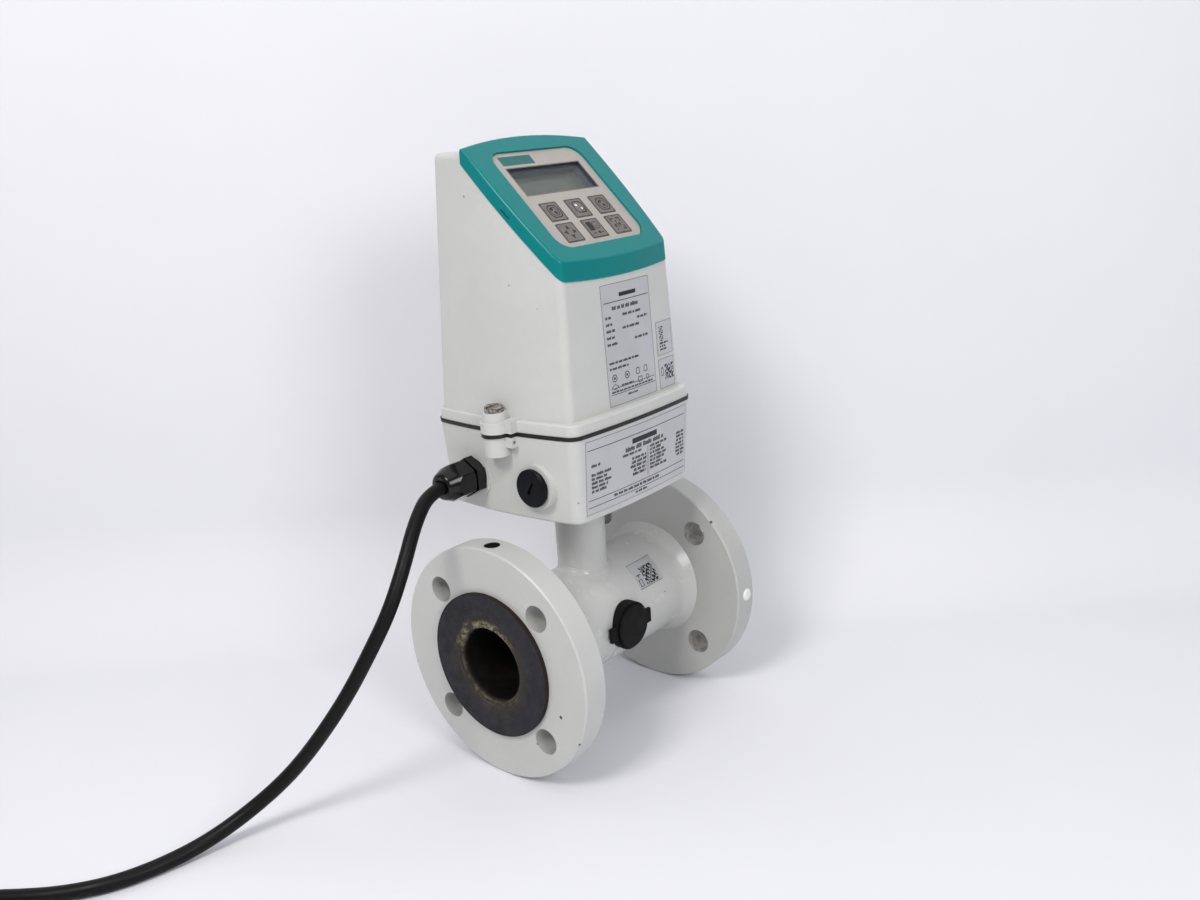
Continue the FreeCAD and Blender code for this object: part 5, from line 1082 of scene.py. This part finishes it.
def add_lamp(name, way, size, power, colour):
    """Square area lamp on that side of the object, which looks at its middle."""
    data = bpy.data.lights.new(name, "AREA")
    data.size = size
    data.energy = power
    data.color = colour
    lamp = add_object(name, data)
    aim = Vector((NECK_X, 0, 0.1))
    lamp.location = aim + Vector(way).normalized() * LAMP_DISTANCE
    lamp.rotation_mode = "QUATERNION"
    lamp.rotation_quaternion = (aim - lamp.location).to_track_quat("-Z", "Y")


def add_camera(context):
    """Camera that stands off the target by its azimuth, elevation and roll."""
    data = bpy.data.cameras.new("camera")
    data.lens = CAMERA_LENS
    data.clip_start = 0.02
    data.clip_end = 20
    camera = add_object("camera", data)
    back = Vector((math.sin(CAMERA_AZIMUTH) * math.cos(CAMERA_ELEVATION),
                   -math.cos(CAMERA_AZIMUTH) * math.cos(CAMERA_ELEVATION), math.sin(CAMERA_ELEVATION)))
    right = (-back).cross(Vector((0, 0, 1))).normalized()
    up = right.cross(-back)
    side = right * math.cos(CAMERA_ROLL) + up * math.sin(CAMERA_ROLL)
    top = up * math.cos(CAMERA_ROLL) - right * math.sin(CAMERA_ROLL)
    turn = Matrix((side, top, back)).transposed().to_4x4()
    camera.matrix_world = Matrix.Translation(CAMERA_TARGET + back * CAMERA_DISTANCE) @ turn
    context.scene.camera = camera


def open_back(card):
    """Let the view pass through the back of a sheet; its front and the light on it stay as they are."""
    surface = card.tree.nodes["Material Output"].inputs["Surface"]
    behind = card.node("ShaderNodeNewGeometry").outputs["Backfacing"]
    seen = card.node("ShaderNodeLightPath").outputs["Is Camera Ray"]
    clear = card.node("ShaderNodeBsdfTransparent").outputs[0]
    mixed = card.node("ShaderNodeMixShader", {"Fac": card.times(behind, seen),
                                              1: surface.links[0].from_socket, 2: clear})
    card.tree.links.new(mixed.outputs[0], surface)


def add_sweep(colour):
    """Floor that curves up into a backdrop behind the object."""
    back = Vector((-math.sin(CAMERA_AZIMUTH), math.cos(CAMERA_AZIMUTH), 0))
    side = Vector((back.y, -back.x, 0))
    wall, bend, reach, height, half_width, steps = 0.215, 0.1, 2.6, 2.4, 3.0, 24
    turns = [math.pi / 2 * step / steps for step in range(1, steps + 1)]
    profile = [(-reach, 0.0), (-0.8, 0.0), (wall - bend, 0.0)]
    profile += [(wall - bend + bend * math.sin(turn), bend - bend * math.cos(turn)) for turn in turns]
    profile += [(wall, 0.9), (wall, height)]
    centre = Vector((NECK_X, 0, FLOOR_LEVEL))
    sweep = bmesh.new()
    left, right = [[sweep.verts.new(centre + back * along + side * across + Vector((0, 0, up)))
                    for along, up in profile] for across in (-half_width, half_width)]
    for number in range(len(profile) - 1):
        face = sweep.faces.new((left[number], right[number], right[number + 1], left[number + 1]))
        face.smooth = True
    card = Finish("sweep_card", colour, 0.85, specular=0.2)
    card.mottle(0.3, 0.01, 2.0)
    open_back(card)
    add_mesh("sweep", sweep, card.material)


class METER_OT_stage(bpy.types.Operator):
    """Make the floor, the backdrop, the lamps and the camera"""
    bl_idname = "meter.stage"
    bl_label = "Stage"

    def execute(self, context):
        settings = context.scene.meter_stage
        add_camera(context)
        add_sweep(settings.floor)
        add_lamp("key_lamp", (-1.0, -0.2, 1.0), 0.42, settings.key_power, (1, 0.99, 0.97))
        add_lamp("front_lamp", (-0.35, -0.94, 0.5), 0.5, settings.fill_power, (0.97, 0.98, 1))
        add_lamp("top_lamp", (-0.1, -0.15, 1.0), 1.4, settings.top_power, (1, 1, 1))
        world = bpy.data.worlds.new("sky")
        context.scene.world = world
        world.use_nodes = True
        sky = world.node_tree.nodes["Background"]
        sky.inputs["Color"].default_value = (0.96, 0.97, 1.0, 1)
        sky.inputs["Strength"].default_value = settings.sky
        context.scene.view_settings.view_transform = "Standard"
        return {"FINISHED"}


class METER_PT_sidebar(bpy.types.Panel):
    """Lists the steps and their settings"""
    bl_idname = "METER_PT_sidebar"
    bl_label = "Flow meter"
    bl_space_type = "VIEW_3D"
    bl_region_type = "UI"
    bl_category = "Flow meter"

    def draw(self, context):
        for group, _, operators in STEPS:
            settings = getattr(context.scene, group)
            part = self.layout.box()
            for name in settings.__annotations__:
                part.prop(settings, name)
            for operator in operators:
                part.operator(operator.bl_idname)


STEPS = [
    ("meter_paint", PaintSettings, [METER_OT_paint]),
    ("meter_trim", TrimSettings, [METER_OT_trim, METER_OT_metals, METER_OT_keypad, METER_OT_display]),
    ("meter_labels", LabelSettings, [METER_OT_labels]),
    ("meter_cable", CableSettings, [METER_OT_cable]),
    ("meter_stage", StageSettings, [METER_OT_stage]),
]
CLASSES = [*[kind for _, kind, _ in STEPS], *[operator for *_, operators in STEPS for operator in operators],
           METER_PT_sidebar]


def register():
    for kind in CLASSES:
        bpy.utils.register_class(kind)
    for group, kind, _ in STEPS:
        setattr(bpy.types.Scene, group, bpy.props.PointerProperty(type=kind))


def unregister():
    for group, *_ in STEPS:
        delattr(bpy.types.Scene, group)
    for kind in reversed(CLASSES):
        bpy.utils.unregister_class(kind)


def main():
    register()
    bpy.ops.meter.stage()
    bpy.ops.meter.cable()
    bpy.ops.meter.paint()
    bpy.ops.meter.trim()
    bpy.ops.meter.metals()
    bpy.ops.meter.labels()
    bpy.ops.meter.keypad()
    bpy.ops.meter.display()


if __name__ == "__main__":
    main()
